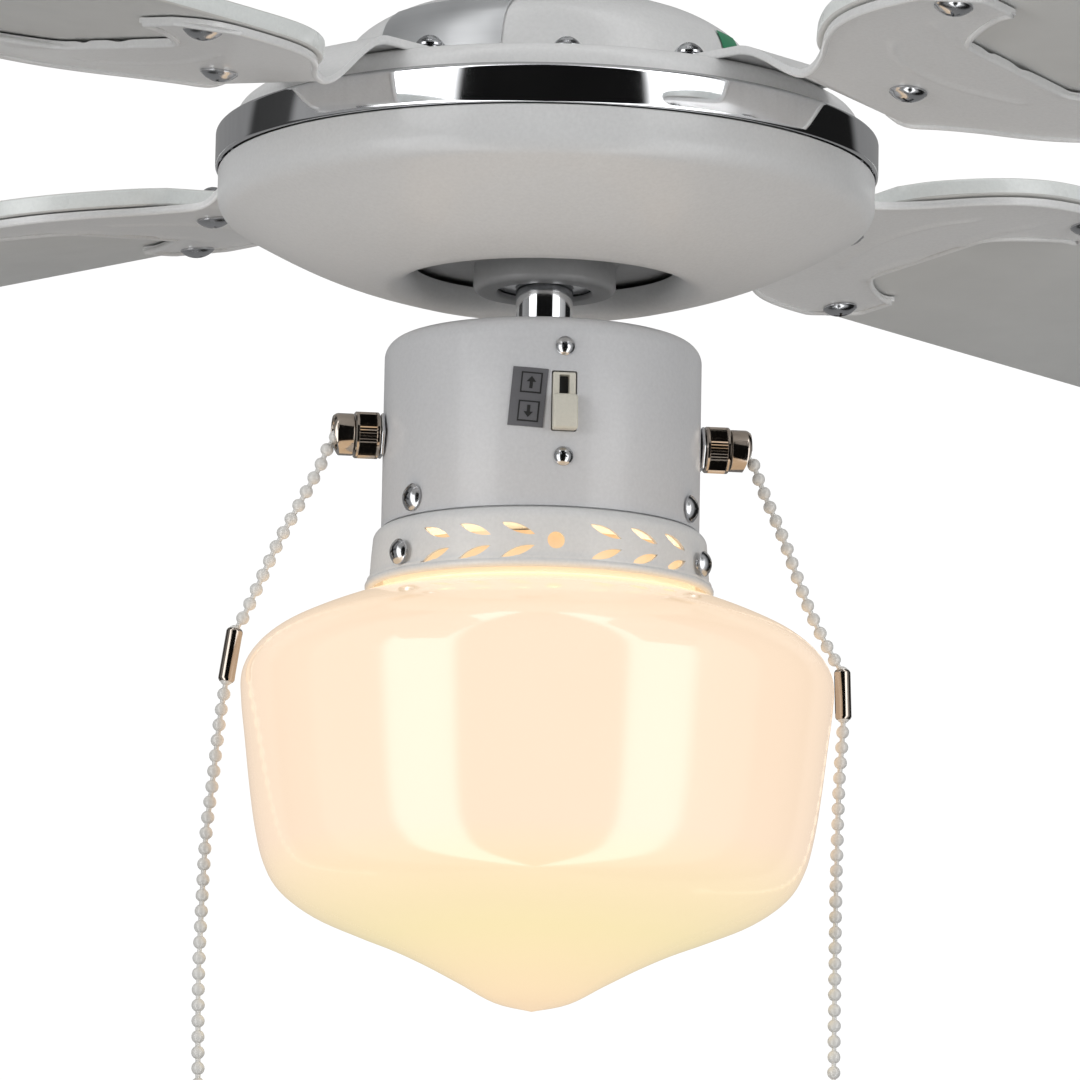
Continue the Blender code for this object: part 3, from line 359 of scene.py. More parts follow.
@dataclass(frozen=True)
class OpalGlass(Finish):
    """Glossy opal glass with a painted glow: an emission that stands in for the bulb's light shining through
    it, warmer at its neck and shoulder, yellower towards its point.
    """

    top_z: float = BAND_Z - 0.122
    bottom_z: float = BAND_Z - 0.2654
    # Colours of the painted glow at the shade's neck, shoulder and middle.
    neck: Colour = (0.90, 0.52, 0.22)
    shoulder: Colour = (1.0, 0.73, 0.45)
    middle: Colour = (1.0, 0.757, 0.545)

    def make(self) -> bpy.types.Material:
        """Builds the material's nodes, with the painted glow worked out from the height on the shade."""
        recipe = Recipe(self.name)
        shader = recipe.shader.inputs
        shader["Coat Weight"].default_value = self.coat
        shader["Coat Roughness"].default_value = 0.03
        fine = recipe.noise(self.scale, 3.0)
        cloud = recipe.noise(14.0, 3.0)
        recipe.feed(shader["Base Color"], recipe.ramp(cloud, 0.3, 0.7, self.dark, self.light))
        recipe.feed(shader["Roughness"], recipe.span(cloud, *self.gloss))
        recipe.bump(fine, 0.3, self.relief)
        # Painted light: the glow's colour changes with height, from the neck down to the point.
        height = recipe.node("SeparateXYZ", Vector=recipe.spot()).outputs[2]
        down = recipe.node("MapRange", Value=height, From_Min=self.top_z, From_Max=self.bottom_z).outputs[0]
        glow = recipe.node("ValToRGB", Fac=down)
        stops = ((0.0, self.neck), (0.08, self.shoulder), (0.24, self.middle), (0.66, self.middle),
                 (0.85, self.glow), (1.0, self.shoulder))
        ends = glow.color_ramp.elements
        for _ in range(len(stops) - 2):
            ends.new(0.5)
        for end, (place, colour) in zip(ends, stops):
            end.position = place
            end.color = (*colour, 1)
        recipe.feed(shader["Emission Color"], glow.outputs[0])
        shader["Emission Strength"].default_value = self.glow_strength
        return recipe.material


WHITE_ENAMEL = Finish("white_enamel", "white_paint", (0.87, 0.87, 0.865), (0.85, 0.85, 0.845), (0.30, 0.38),
                      coat=0.2, relief=0.000004)
HOUSING_ENAMEL = Finish("housing_enamel", "housing_paint", (0.72, 0.725, 0.74), (0.70, 0.705, 0.72),
                        (0.32, 0.40), coat=0.2, relief=0.000004)
BLADE_FOIL = Finish("foil_on_board", "blade_foil", (0.73, 0.73, 0.71), (0.70, 0.70, 0.68), (0.36, 0.46),
                    grain=Grain.FOIL, scale=260.0, relief=0.00001)
EDGE_BAND = Finish("edge_band", "blade_foil", (0.93, 0.96, 0.94), (0.91, 0.94, 0.92), (0.25, 0.35), coat=0.3)
CHROME = Finish("mirror_chrome", "chrome", (0.90, 0.91, 0.93), (0.86, 0.87, 0.89), (0.03, 0.09), 1.0,
                grain=Grain.PLATED, scale=300.0, relief=0.000002)
ZINC = Finish("zinc_plate", "steel", (0.66, 0.67, 0.69), (0.56, 0.57, 0.59), (0.12, 0.24), 1.0,
              grain=Grain.BRUSHED, scale=700.0, relief=0.000006)
NICKEL = Finish("dark_nickel", "nickel", (0.56, 0.50, 0.44), (0.44, 0.38, 0.33), (0.08, 0.16), 1.0,
                grain=Grain.PLATED, scale=500.0, relief=0.000003)
PAN_PAINT = Finish("painted_pan", "steel", (0.46, 0.46, 0.46), (0.43, 0.43, 0.43), (0.35, 0.50), scale=600.0)
LAMINATIONS = Finish("laminations", "laminated_steel", (0.34, 0.34, 0.36), (0.22, 0.22, 0.24), (0.40, 0.55),
                     0.9, grain=Grain.LAMINATED, scale=330.0, relief=0.00012)
COPPER = Finish("enamelled_wire", "copper", (0.66, 0.31, 0.16), (0.48, 0.19, 0.09), (0.25, 0.40), 0.9,
                coat=0.4, grain=Grain.WOUND, scale=260.0, relief=0.00025)
BLACK_PLASTIC = Finish("moulded_black", "black_plastic", (0.030, 0.030, 0.032), (0.018, 0.018, 0.020),
                       (0.42, 0.60), grain=Grain.MOULDED, scale=1500.0, relief=0.00003)
IVORY = Finish("moulded_ivory", "ivory_plastic", (0.80, 0.77, 0.68), (0.76, 0.73, 0.63), (0.30, 0.42),
               grain=Grain.MOULDED, scale=1200.0, relief=0.00001)
BEAD_ENAMEL = Finish("bead_enamel", "chain_plastic", (0.88, 0.87, 0.84), (0.82, 0.80, 0.76), (0.22, 0.34),
                     coat=0.4, scale=1200.0, relief=0.00001)
PORCELAIN = Finish("glazed_porcelain", "porcelain", (0.86, 0.86, 0.84), (0.82, 0.82, 0.79), (0.10, 0.20),
                   coat=0.6, scale=500.0)
LAMP_GLASS = Finish("frosted_lamp", "lamp_glass", (0.96, 0.92, 0.84), (0.94, 0.89, 0.80), (0.25, 0.35),
                    glow=(1.0, 0.80, 0.55), glow_strength=12.0)
# Opal shade: a dark base under a painted glow that stands in for the bulb's light through the glass.
OPAL = OpalGlass("opal_painted_glow", "opal_glass", (0.30, 0.28, 0.25), (0.28, 0.26, 0.23), (0.10, 0.16), coat=0.5,
                 scale=120.0, relief=0.00001, glow=(1.0, 0.825, 0.43), glow_strength=0.86)
LABEL_SILVER = Finish("label_silver", "steel", (0.60, 0.61, 0.62), (0.52, 0.53, 0.54), (0.30, 0.42), 0.5,
                      grain=Grain.BRUSHED, scale=500.0)
LABEL_INK = Finish("label_ink", "black_plastic", (0.03, 0.03, 0.03), (0.02, 0.02, 0.02), (0.40, 0.55),
                   scale=1500.0)
LABEL_GREY = Finish("label_grey", "black_plastic", (0.17, 0.17, 0.18), (0.14, 0.14, 0.15), (0.35, 0.50),
                    scale=1500.0)
LABEL_GREEN = Finish("label_green", "housing_paint", (0.06, 0.32, 0.17), (0.04, 0.26, 0.13), (0.30, 0.45),
                     scale=900.0)


# ---- making pieces ----

def piece_of(bm: bmesh.types.BMesh, name: str, body: Body, finish: Finish, replaces: Iterable[str] = (),
             sharp: float = 35.0) -> bpy.types.Object:
    """Makes a finished piece of a bmesh.

    Args:
        bm: The shape, in the frame's own place. It is used up.
        name: The piece's name.
        body: What it rides on.
        finish: Its surface.
        replaces: Nodes of the frame that it stands for.
        sharp: Angle, in degrees, over which an edge stays sharp.

    Returns:
        The piece.
    """
    bmesh.ops.remove_doubles(bm, verts=bm.verts, dist=1e-6)
    bmesh.ops.recalc_face_normals(bm, faces=bm.faces)
    mesh = bpy.data.meshes.new(name)
    bm.to_mesh(mesh)
    bm.free()
    mesh.shade_smooth()
    mesh.set_sharp_from_angle(angle=math.radians(sharp))
    piece = bpy.data.objects.new(name, mesh)
    bpy.context.scene.collection.objects.link(piece)
    finish.dress(piece)
    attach(piece, body.value)
    if replaces:
        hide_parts(*replaces)
    LOG.info("%s rides on %s: %d faces", name, body.value, len(mesh.polygons))
    return piece


def spun(profile: Sequence[Point2], steps: int = FINE_STEPS,
         place: Matrix = Matrix.Identity(4)) -> bmesh.types.BMesh:
    """Turns a closed (radius, height) outline round +Z.

    Args:
        profile: The outline's points, in order.
        steps: Number of sides.
        place: Where the turned shape goes.

    Returns:
        The shape.
    """
    bm = bmesh.new()
    ring = [bm.verts.new((radius, 0, height)) for radius, height in profile]
    for first, second in zip(ring, ring[1:] + ring[:1]):
        bm.edges.new((first, second))
    bmesh.ops.spin(bm, geom=bm.verts[:] + bm.edges[:], cent=(0, 0, 0), axis=(0, 0, 1), angle=math.tau,
                   steps=steps, use_merge=True)
    bmesh.ops.remove_doubles(bm, verts=bm.verts, dist=1e-6)
    flat = [face for face in bm.faces if face.calc_area() < 1e-14]
    bmesh.ops.delete(bm, geom=flat, context="FACES")
    bmesh.ops.transform(bm, matrix=place, verts=bm.verts)
    return bm


def softened(profile: Sequence[Point2], radius: float, steps: int = 3) -> list[Point2]:
    """An outline with each corner cut by a small arc, so that the turned edges catch the light.

    Args:
        profile: Closed outline of (radius, height) points.
        radius: How far along each side a corner's arc starts.
        steps: Pieces of the arc.

    Returns:
        The longer outline.
    """
    points = [Vector(point) for point in profile]
    line = []
    for before, here, after in zip(points[-1:] + points[:-1], points, points[1:] + points[:1]):
        back, forth = before - here, after - here
        reach = min(radius, 0.45 * back.length, 0.45 * forth.length)
        if here.x < 1e-6 or back.angle(forth, math.pi) > math.radians(150):
            line.append((here.x, here.y))
            continue
        start, end = here + back.normalized() * reach, here + forth.normalized() * reach
        for step in range(steps + 1):
            t = step / steps
            p = start.lerp(here, t).lerp(here.lerp(end, t), t)
            line.append((max(0.0, p.x), p.y))
    return line


def slab(outline: Sequence[Point2], low: float, high: float, place: Matrix, bevel: float = 0.0,
         segments: int = 3) -> bmesh.types.BMesh:
    """Flat outline with a thickness and rounded rims.

    Args:
        outline: (x, y) points in order.
        low: Height of the lower face.
        high: Height of the upper face.
        place: Where the slab goes.
        bevel: Radius of the rims, or 0 for sharp ones.
        segments: Steps of the rounding.

    Returns:
        The shape.
    """
    bm = bmesh.new()
    face = bm.faces.new([bm.verts.new((x, y, low)) for x, y in outline])
    grown = bmesh.ops.extrude_face_region(bm, geom=[face])
    top = [item for item in grown["geom"] if isinstance(item, bmesh.types.BMVert)]
    bmesh.ops.translate(bm, verts=top, vec=(0, 0, high - low))
    if bevel:
        middle = (low + high) / 2
        rims = [edge for edge in bm.edges if (edge.verts[0].co.z > middle) == (edge.verts[1].co.z > middle)]
        bmesh.ops.bevel(bm, geom=rims, offset=bevel, offset_type="OFFSET", affect="EDGES", segments=segments,
                        profile=0.5, material=-1)
    bmesh.ops.transform(bm, matrix=place, verts=bm.verts)
    return bm


def rounded_block(size: Colour, place: Matrix, bevel: float, segments: int = 3) -> bmesh.types.BMesh:
    """Block with all its edges rounded."""
    bm = bmesh.new()
    bmesh.ops.create_cube(bm, size=1, matrix=Matrix.Diagonal((*size, 1)))
    bmesh.ops.bevel(bm, geom=bm.edges[:], offset=bevel, offset_type="OFFSET", affect="EDGES",
                    segments=segments, profile=0.5, material=-1)
    bmesh.ops.transform(bm, matrix=place, verts=bm.verts)
    return bm


def plain_mesh(bm: bmesh.types.BMesh, name: str) -> bpy.types.Mesh:
    """Mesh of a bmesh, with no object of its own."""
    bmesh.ops.remove_doubles(bm, verts=bm.verts, dist=1e-6)
    bmesh.ops.recalc_face_normals(bm, faces=bm.faces)
    mesh = bpy.data.meshes.new(name)
    bm.to_mesh(mesh)
    bm.free()
    return mesh


def pierced(body: bmesh.types.BMesh, cutter: bmesh.types.BMesh) -> bmesh.types.BMesh:
    """Cuts one shape out of another.

    Args:
        body: The shape that is cut. It is used up.
        cutter: The shape that is taken away. It is used up.

    Returns:
        What is left.
    """
    scene = bpy.context.scene.collection.objects
    whole = bpy.data.objects.new("whole", plain_mesh(body, "whole"))
    tool = bpy.data.objects.new("tool", plain_mesh(cutter, "tool"))
    scene.link(whole)
    scene.link(tool)
    cut = whole.modifiers.new("cut", "BOOLEAN")
    cut.operation, cut.solver, cut.object = "DIFFERENCE", "EXACT", tool
    bpy.context.view_layer.update()
    left = bmesh.new()
    left.from_mesh(whole.evaluated_get(bpy.context.evaluated_depsgraph_get()).to_mesh())
    for used in (whole, tool):
        mesh = used.data
        bpy.data.objects.remove(used)
        bpy.data.meshes.remove(mesh)
    return left


def joined(parts: Iterable[bmesh.types.BMesh]) -> bmesh.types.BMesh:
    """Several shapes in one bmesh. Each of them is used up."""
    whole = bmesh.new()
    for part in parts:
        mesh = plain_mesh(part, "part")
        whole.from_mesh(mesh)
        bpy.data.meshes.remove(mesh)
    return whole


class ScrewHeads:
    """Cross-recessed screw heads, all copies of one cut head."""

    def __init__(self, steps: int = 28) -> None:
        """Cuts the pattern head, 1 across its radius and standing on +Z."""
        dome = [(0, 0), (1, 0), (1, 0.14)] + arc((0, -0.62), 1.25, 37, 90, 7)
        head = spun(softened(dome, 0.05, 2), steps)
        cross = []
        for turn in (0, 90):
            place = Matrix.Rotation(math.radians(turn), 4, "Z") @ Matrix.Translation((0, 0, 0.62))
            arm = bmesh.new()
            bmesh.ops.create_cube(arm, size=1, matrix=place @ Matrix.Diagonal((1.05, 0.20, 0.62, 1)))
            for vert in arm.verts:
                if vert.co.z < 0.5:
                    vert.co.x, vert.co.y = 0.55 * vert.co.x, 0.55 * vert.co.y
            cross.append(arm)
        for arm in cross:
            head = pierced(head, arm)
        self.pattern = plain_mesh(head, "screw_head")

    def at(self, place: Matrix, radius: float, rise: float = 0.65, turn: float = 20.0) -> bmesh.types.BMesh:
        """One head.

        Args:
            place: Frame that it stands on.
            radius: Its radius.
            rise: Its height as a share of its radius, against the pattern's own.
            turn: How far the recess is turned, in degrees.

        Returns:
            The shape.
        """
        bm = bmesh.new()
        bm.from_mesh(self.pattern)
        size = Matrix.Diagonal((radius, radius, radius * rise / 0.63, 1))
        bmesh.ops.transform(bm, matrix=place @ Matrix.Rotation(math.radians(turn), 4, "Z") @ size,
                            verts=bm.verts)
        return bm

    def on_washer(self, place: Matrix, radius: float, turn: float) -> bmesh.types.BMesh:
        """A tall head with a spring washer under it."""
        washer = ((0.5 * radius, 0), (0.98 * radius, 0), (0.98 * radius, 0.0013), (0.5 * radius, 0.0013))
        head = self.at(place @ Matrix.Translation((0, 0, 0.0015)), radius, 0.86, turn)
        return joined([spun(softened(washer, 0.0002), 28, place), head])


def shank(place: Matrix, radius: float, length: float) -> bmesh.types.BMesh:
    """Threaded shank that runs down from a place: a rod whose profile is a row of teeth."""
    pitch = 0.0009
    rows = max(2, int(length / pitch))
    profile = [(0.0, 0.0), (radius, 0.0)]
    for row in range(rows):
        profile += [(radius, -pitch * (row + 0.15)), (0.82 * radius, -pitch * (row + 0.6))]
    return spun(profile + [(0.5 * radius, -length), (0.0, -length)], 16, place)


def curved_plate(width: float, height: float, azimuth: float, radius: float, middle_z: float,
                 tilt: float = 0.0,
                 thickness: float = 0.0003, grid: tuple[int, int] = (12, 12)) -> bmesh.types.BMesh:
    """Thin plate bent round the fan's axis.

    Args:
        width: Its width round the axis.
        height: Its height.
        azimuth: Where its middle is, in degrees.
        radius: Distance of its back from the axis.
        middle_z: World height of its middle.
        tilt: Its turn in its own plane, in degrees.
        thickness: Its thickness.
        grid: Number of cells across and up.

    Returns:
        The shape.
    """
    bm = bmesh.new()
    bmesh.ops.create_grid(bm, x_segments=grid[0], y_segments=grid[1], size=0.5)
    bmesh.ops.scale(bm, vec=(width, height, 1), verts=bm.verts)
    grown = bmesh.ops.extrude_face_region(bm, geom=bm.faces[:])
    top = [item for item in grown["geom"] if isinstance(item, bmesh.types.BMVert)]
    bmesh.ops.translate(bm, verts=top, vec=(0, 0, thickness))
    bmesh.ops.rotate(bm, cent=(0, 0, 0), matrix=Matrix.Rotation(math.radians(tilt), 3, "Z"), verts=bm.verts)
    for vert in bm.verts:
        x, y, z = vert.co
        vert.co = direction(azimuth + math.degrees(x / radius)) * (radius + z) + UP * (middle_z + y)
    return bm


# ---- sub-assemblies ----

@dataclass
class Stage:
    """Floor, backdrop light and camera, which aren't part of the fan."""

    lens: float = 250.0
    camera_place: Vector = field(default_factory=lambda: Vector((0, -2.3206, BAND_Z - 0.52161)))
    tilt: float = 9.9016
    roll: float = 1.0372
    floor_z: float = -2.4
    seen_white: float = 1.05
    fill: float = 0.37
    # (azimuth, brightness) of what mirrors see round the fan: two windows in a dark room.
    windows: tuple[Point2, ...] = (
        (-180, 0.25), (-127, 0.22), (-122, 0.04), (-100, 0.05), (-96, 0.30), (-64, 0.24), (-59, 2.6),
        (-34, 2.6),
        (-30, 0.006), (33, 0.006), (37, 2.6), (60, 2.6), (66, 0.55), (92, 0.35), (97, 0.01), (130, 0.01),
        (136, 0.22), (180, 0.25))

    def build(self) -> None:
        """Makes the camera, the lights and the floor."""
        self.camera()
        self.lights()
        self.floor()

    def camera(self) -> None:
        """Camera below the fan, looking up at it."""
        tilt, roll = math.radians(self.tilt), math.radians(self.roll)
        look = Vector((0, math.cos(tilt), math.sin(tilt)))
        right, up = Vector((1, 0, 0)), Vector((1, 0, 0)).cross(look)
        side = right * math.cos(roll) + up * math.sin(roll)
        top = up * math.cos(roll) - right * math.sin(roll)
        data = bpy.data.cameras.new("camera")
        data.lens, data.sensor_width = self.lens, 36.0
        data.clip_start, data.clip_end = 0.05, 100.0
        made = bpy.data.objects.new("camera", data)
        bpy.context.scene.collection.objects.link(made)
        turned = Matrix((side, top, -look)).transposed().to_4x4()
        made.matrix_world = Matrix.Translation(self.camera_place) @ turned
        bpy.context.scene.camera = made

    def lights(self) -> None:
        """White surroundings and soft boxes on both sides, with a darker space between them."""
        world = bpy.data.worlds.new("studio")
        bpy.context.scene.world = world
        world.use_nodes = True
        tree = world.node_tree
        seen = tree.nodes["Background"]
        seen.inputs["Color"].default_value = (1, 1, 1, 1)
        seen.inputs["Strength"].default_value = self.seen_white
        fill = tree.nodes.new("ShaderNodeBackground")
        fill.inputs["Color"].default_value = (0.98, 0.99, 1.0, 1)
        fill.inputs["Strength"].default_value = self.fill
        path = tree.nodes.new("ShaderNodeLightPath")
        below = fill.outputs[0]
        for ray, above in (("Is Glossy Ray", self.mirrored(tree)), ("Is Camera Ray", seen.outputs[0])):
            mix = tree.nodes.new("ShaderNodeMixShader")
            tree.links.new(path.outputs[ray], mix.inputs[0])
            tree.links.new(below, mix.inputs[1])
            tree.links.new(above, mix.inputs[2])
            below = mix.outputs[0]
        tree.links.new(below, tree.nodes["World Output"].inputs[0])
        bpy.context.scene.view_settings.view_transform = "Standard"
        self.soft_box("left_box", (-1.7, -1.5, -0.15), (0.9, 1.3), 17.0)
        self.soft_box("right_box", (1.8, -1.4, -0.10), (0.9, 1.3), 15.0)
        self.soft_box("top_box", (0.0, 0.6, 1.6), (2.0, 1.4), 22.0)

    def mirrored(self, tree: bpy.types.NodeTree) -> bpy.types.NodeSocket:
        """Background that only mirrors see, drawn round the fan by azimuth."""
        place = tree.nodes.new("ShaderNodeTexCoord")
        parts = tree.nodes.new("ShaderNodeSeparateXYZ")
        tree.links.new(place.outputs["Generated"], parts.inputs[0])
        turned = tree.nodes.new("ShaderNodeMath")
        turned.operation = "MULTIPLY"
        turned.inputs[1].default_value = -1
        tree.links.new(parts.outputs[1], turned.inputs[0])
        azimuth = tree.nodes.new("ShaderNodeMath")
        azimuth.operation = "ARCTAN2"
        tree.links.new(parts.outputs[0], azimuth.inputs[0])
        tree.links.new(turned.outputs[0], azimuth.inputs[1])
        share = tree.nodes.new("ShaderNodeMapRange")
        share.inputs["From Min"].default_value, share.inputs["From Max"].default_value = -math.pi, math.pi
        tree.links.new(azimuth.outputs[0], share.inputs["Value"])
        ramp = tree.nodes.new("ShaderNodeValToRGB")
        ends = ramp.color_ramp.elements
        for _ in range(len(self.windows) - 2):
            ends.new(0.5)
        for end, (turn, grey) in zip(ends, self.windows):
            end.position = (turn + 180) / 360
            end.color = (grey, grey, grey, 1)
        tree.links.new(share.outputs[0], ramp.inputs[0])
        made = tree.nodes.new("ShaderNodeBackground")
        tree.links.new(ramp.outputs[0], made.inputs["Color"])
        return made.outputs[0]

    def soft_box(self, name: str, place: Colour, size: Point2, power: float) -> None:
        """Area light aimed at the motor."""
        data = bpy.data.lights.new(name, "AREA")
        data.shape, data.size, data.size_y, data.energy = "RECTANGLE", size[0], size[1], power
        made = bpy.data.objects.new(name, data)
        bpy.context.scene.collection.objects.link(made)
        made.visible_glossy = False
        aim = Vector((0, 0, BAND_Z - 0.05)) - Vector(place)
        made.matrix_world = Matrix.Translation(place) @ aim.to_track_quat("-Z", "Z").to_matrix().to_4x4()

    def floor(self) -> None:
        """Plain pale floor far below."""
        bm = bmesh.new()
        bmesh.ops.create_grid(bm, x_segments=1, y_segments=1, size=8.0,
                              matrix=Matrix.Translation((0, 0, self.floor_z)))
        mesh = plain_mesh(bm, "floor")
        made = bpy.data.objects.new("floor", mesh)
        bpy.context.scene.collection.objects.link(made)
        recipe = Recipe("pale_floor")
        colour = recipe.ramp(recipe.noise(3.0, 4.0), 0.3, 0.7, (0.80, 0.80, 0.80), (0.84, 0.84, 0.84))
        recipe.feed(recipe.shader.inputs["Base Color"], colour)
        recipe.shader.inputs["Roughness"].default_value = 0.8
        mesh.materials.append(recipe.material)
        made.visible_glossy = False


@dataclass
class PullChain:
    """One bead chain: two stretches of beads, the coupling between them and the knob on the end."""

    word: str
    azimuth: float
    body: Body
    upper: tuple[Point2, ...]
    lower: tuple[Point2, ...]
    bead_r: float = 0.0021
    pitch: float = 0.0049
    link_r: float = 0.0008
    coupling_r: float = 0.0026
    knob_r: float = 0.0050

    def build(self) -> None:
        """Makes the chain's pieces: two stretches of beads, the coupling between them and the knob."""
        upper, lower = self.route(self.upper), self.route(self.lower)
        coupling = self.coupling(upper[-1], lower[0])
        knob = self.knob(lower[-1], lower[-1] - lower[-2])
        self.beads("upper", upper)
        self.beads("lower", lower)

    def route(self, points: Sequence[Point2]) -> list[Vector]:
        """World points along a stretch, close together."""
        line = [direction(self.azimuth) * out + UP * (BAND_Z + height) for out, height in points]
        return even_line(smooth_line(line, 8), self.pitch / 2)

    def beads(self, part: str, line: list[Vector]) -> None:
        """One stretch of beads with the link wire between them.

        Args:
            part: Which stretch it is, upper or lower.
            line: The points that it follows.
        """
        name = f"{self.word}_chain_{part}"
        middles = even_line(line, self.pitch)
        bm = bmesh.new()
        for number, middle in enumerate(middles):
            turn = Matrix.Rotation(0.7 * number, 4, "Z") @ Matrix.Rotation(0.4 * math.sin(number), 4, "X")
            bmesh.ops.create_uvsphere(bm, u_segments=12, v_segments=8, radius=self.bead_r,
                                      matrix=Matrix.Translation(middle) @ turn)
        for first, second in zip(middles, middles[1:]):
            place = along(first, second) @ Matrix.Translation((0, 0, (second - first).length / 2))
            bmesh.ops.create_cone(bm, cap_ends=True, segments=6, radius1=self.link_r, radius2=self.link_r,
                                  depth=(second - first).length - self.bead_r, matrix=place)
        made = piece_of(bm, name + "_beads", self.body, BEAD_ENAMEL, [name], 80)

    def coupling(self, start: Vector, end: Vector) -> bpy.types.Object:
        """Slotted metal sleeve that holds the last bead of one stretch and the first of the next."""
        reach = (end - start).length
        place = along(start, end)
        radius, wall = self.coupling_r, 0.0005
        low, high = -0.35 * self.bead_r, reach + 0.35 * self.bead_r
        profile = ((radius - wall, low + 0.0006), (radius - 1.6 * wall, low), (radius - wall, low - 0.0002),
                   (radius, low + 0.0006),
                   (radius, high - 0.0006), (radius - wall, high + 0.0002), (radius - 1.6 * wall, high),
                   (radius - wall, high - 0.0006))
        slot = bmesh.new()
        bmesh.ops.create_cube(slot, size=1, matrix=place @ Matrix.Translation((0, -radius, reach / 2))
                              @ Matrix.Diagonal((0.0013, 2 * radius, 0.86 * reach, 1)))
        tube = pierced(spun(softened(profile, 0.0002), SMALL_STEPS, place), slot)
        return piece_of(tube, f"{self.word}_coupling_sleeve", self.body, NICKEL,
                        [f"{self.word}_chain_coupling"])

    def knob(self, start: Vector, run: Vector) -> bpy.types.Object:
        """Turned knob with a collar and two grooves."""
        r, length = self.knob_r, 0.018
        profile = [(0, 0), (0.34 * r, 0), (0.40 * r, 0.0008), (0.36 * r, 0.0018), (0.46 * r, 0.0030)]
        profile += smooth_profile(((0.50 * r, 0.0034), (0.72 * r, 0.0070), (0.95 * r, 0.0115), (r, 0.0140),
                                   (0.93 * r, 0.0165), (0.60 * r, 0.0178), (0.0, length)), 4)
        for groove in (0.0095, 0.0125):
            for index, (radius, height) in enumerate(profile):
                if abs(height - groove) < 0.0004:
                    profile[index] = (radius - 0.0003, height)
        bm = spun(profile, SMALL_STEPS, along(start, start + run) @ Matrix.Translation((0, 0, GAP)))
        return piece_of(bm, f"{self.word}_pull_knob", self.body, BEAD_ENAMEL, [f"{self.word}_chain_knob"])


@dataclass
class Hanger:
    """Bracket, canopy, ball, rod and the coupling on the motor's shaft."""

    canopy_r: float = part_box("canopy")[1].x
    canopy_z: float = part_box("canopy")[0].z
    hole_r: float = 0.0145
    wall: float = 0.0014
    screw_z: float = -0.012
    ball_r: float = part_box("hanger_ball")[1].x
    ball_z: float = -0.0315
    rod_r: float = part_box("downrod")[1].x
    coupling_r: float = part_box("motor_coupling")[1].x
    shaft_r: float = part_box("motor_shaft")[1].x

    def build(self, heads: ScrewHeads) -> None:
        """Makes each piece from the ceiling down to the motor."""
        self.canopy(heads)
        self.ball_and_rod()
        self.coupling()
        for node, finish in (("hanger_bracket", ZINC), ("ball_pin", ZINC), ("terminal_block", IVORY)):
            finish.dress(frame["nodes"][node])

    def canopy(self, heads: ScrewHeads) -> None:
        """Bell over the bracket with a hole for the rod, and its two screws."""
        r, deep = self.canopy_r, self.canopy_z
        outer = [(r, -GAP), (r, 0.12 * deep)] + smooth_profile(
            ((r, 0.36 * deep), (0.985 * r, 0.50 * deep), (0.94 * r, 0.64 * deep), (0.83 * r, 0.80 * deep),
             (0.66 * r, 0.92 * deep), (0.44 * r, 0.975 * deep),
             (0.30 * r, 0.985 * deep))) + [(self.hole_r + 0.001, deep)]
        inner = inset_profile(outer, self.wall)
        inner[0] = (r - self.wall, -GAP)
        rim = [(self.hole_r, deep + 0.0004), (self.hole_r, deep + self.wall)]
        bm = spun(outer + rim + inner[::-1][2:])
        piece_of(bm, "canopy_bell", Body.CEILING, WHITE_ENAMEL, ["canopy"])
        for number, side in enumerate((-1, 1), 1):
            spot = Matrix.Translation((side * (r + GAP), 0, self.screw_z))
            place = spot @ Matrix.Rotation(side * math.pi / 2, 4, "Y")
            both = joined([heads.at(place, 0.0042), shank(place, 0.0020, 0.015)])
            piece_of(both, f"canopy_fixing_screw_{number}", Body.CEILING, ZINC, [f"canopy_screw_{number}"])

    def ball_and_rod(self) -> None:
        """Ball with the rod through it."""
        start = math.degrees(math.acos((self.rod_r + GAP) / self.ball_r))
        ball = spun(softened(arc((0, self.ball_z), self.ball_r, -start, start, 28), 0.0006), MID_STEPS)
        piece_of(ball, "ball", Body.HANGING, BLACK_PLASTIC, ["hanger_ball"])
        low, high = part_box("downrod")[0].z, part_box("downrod")[1].z
        tube = ((self.rod_r - 0.0015, low), (self.rod_r, low), (self.rod_r, high),
                (self.rod_r - 0.0015, high))
        piece_of(spun(softened(tube, 0.0004), 96), "rod", Body.HANGING, CHROME, ["downrod"])

    def coupling(self) -> None:
        """Sleeve that joins rod and shaft, and its pin with a clip."""
        low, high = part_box("motor_coupling")[0].z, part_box("motor_coupling")[1].z
        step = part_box("downrod")[0].z - GAP
        small, large, r = self.shaft_r + GAP, self.rod_r + GAP, self.coupling_r
        profile = ((small, low), (r, low), (r, high - 0.004), (r - 0.001, high), (large, high),
                   (large, step), (small, step))
        piece_of(spun(softened(profile, 0.0006), MID_STEPS), "coupling", Body.HANGING, ZINC,
                 ["motor_coupling"])
        middle = (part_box("coupling_pin")[0].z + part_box("coupling_pin")[1].z) / 2
        reach, pin_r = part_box("coupling_pin")[1].x, 0.003
        place = Matrix.Translation((0, 0, middle)) @ Matrix.Rotation(math.pi / 2, 4, "Y")
        pin = spun(softened(((0, -reach), (pin_r, -reach), (pin_r, reach), (0, reach)), 0.0005), SMALL_STEPS,
                   place)
        clip = spun(softened(((pin_r, reach - 0.002), (pin_r + 0.0014, reach - 0.002),
                              (pin_r + 0.0014, reach - 0.001),
                              (pin_r, reach - 0.001)), 0.0002), SMALL_STEPS, place)
        piece_of(joined([pin, clip]), "cross_pin", Body.HANGING, ZINC, ["coupling_pin"])


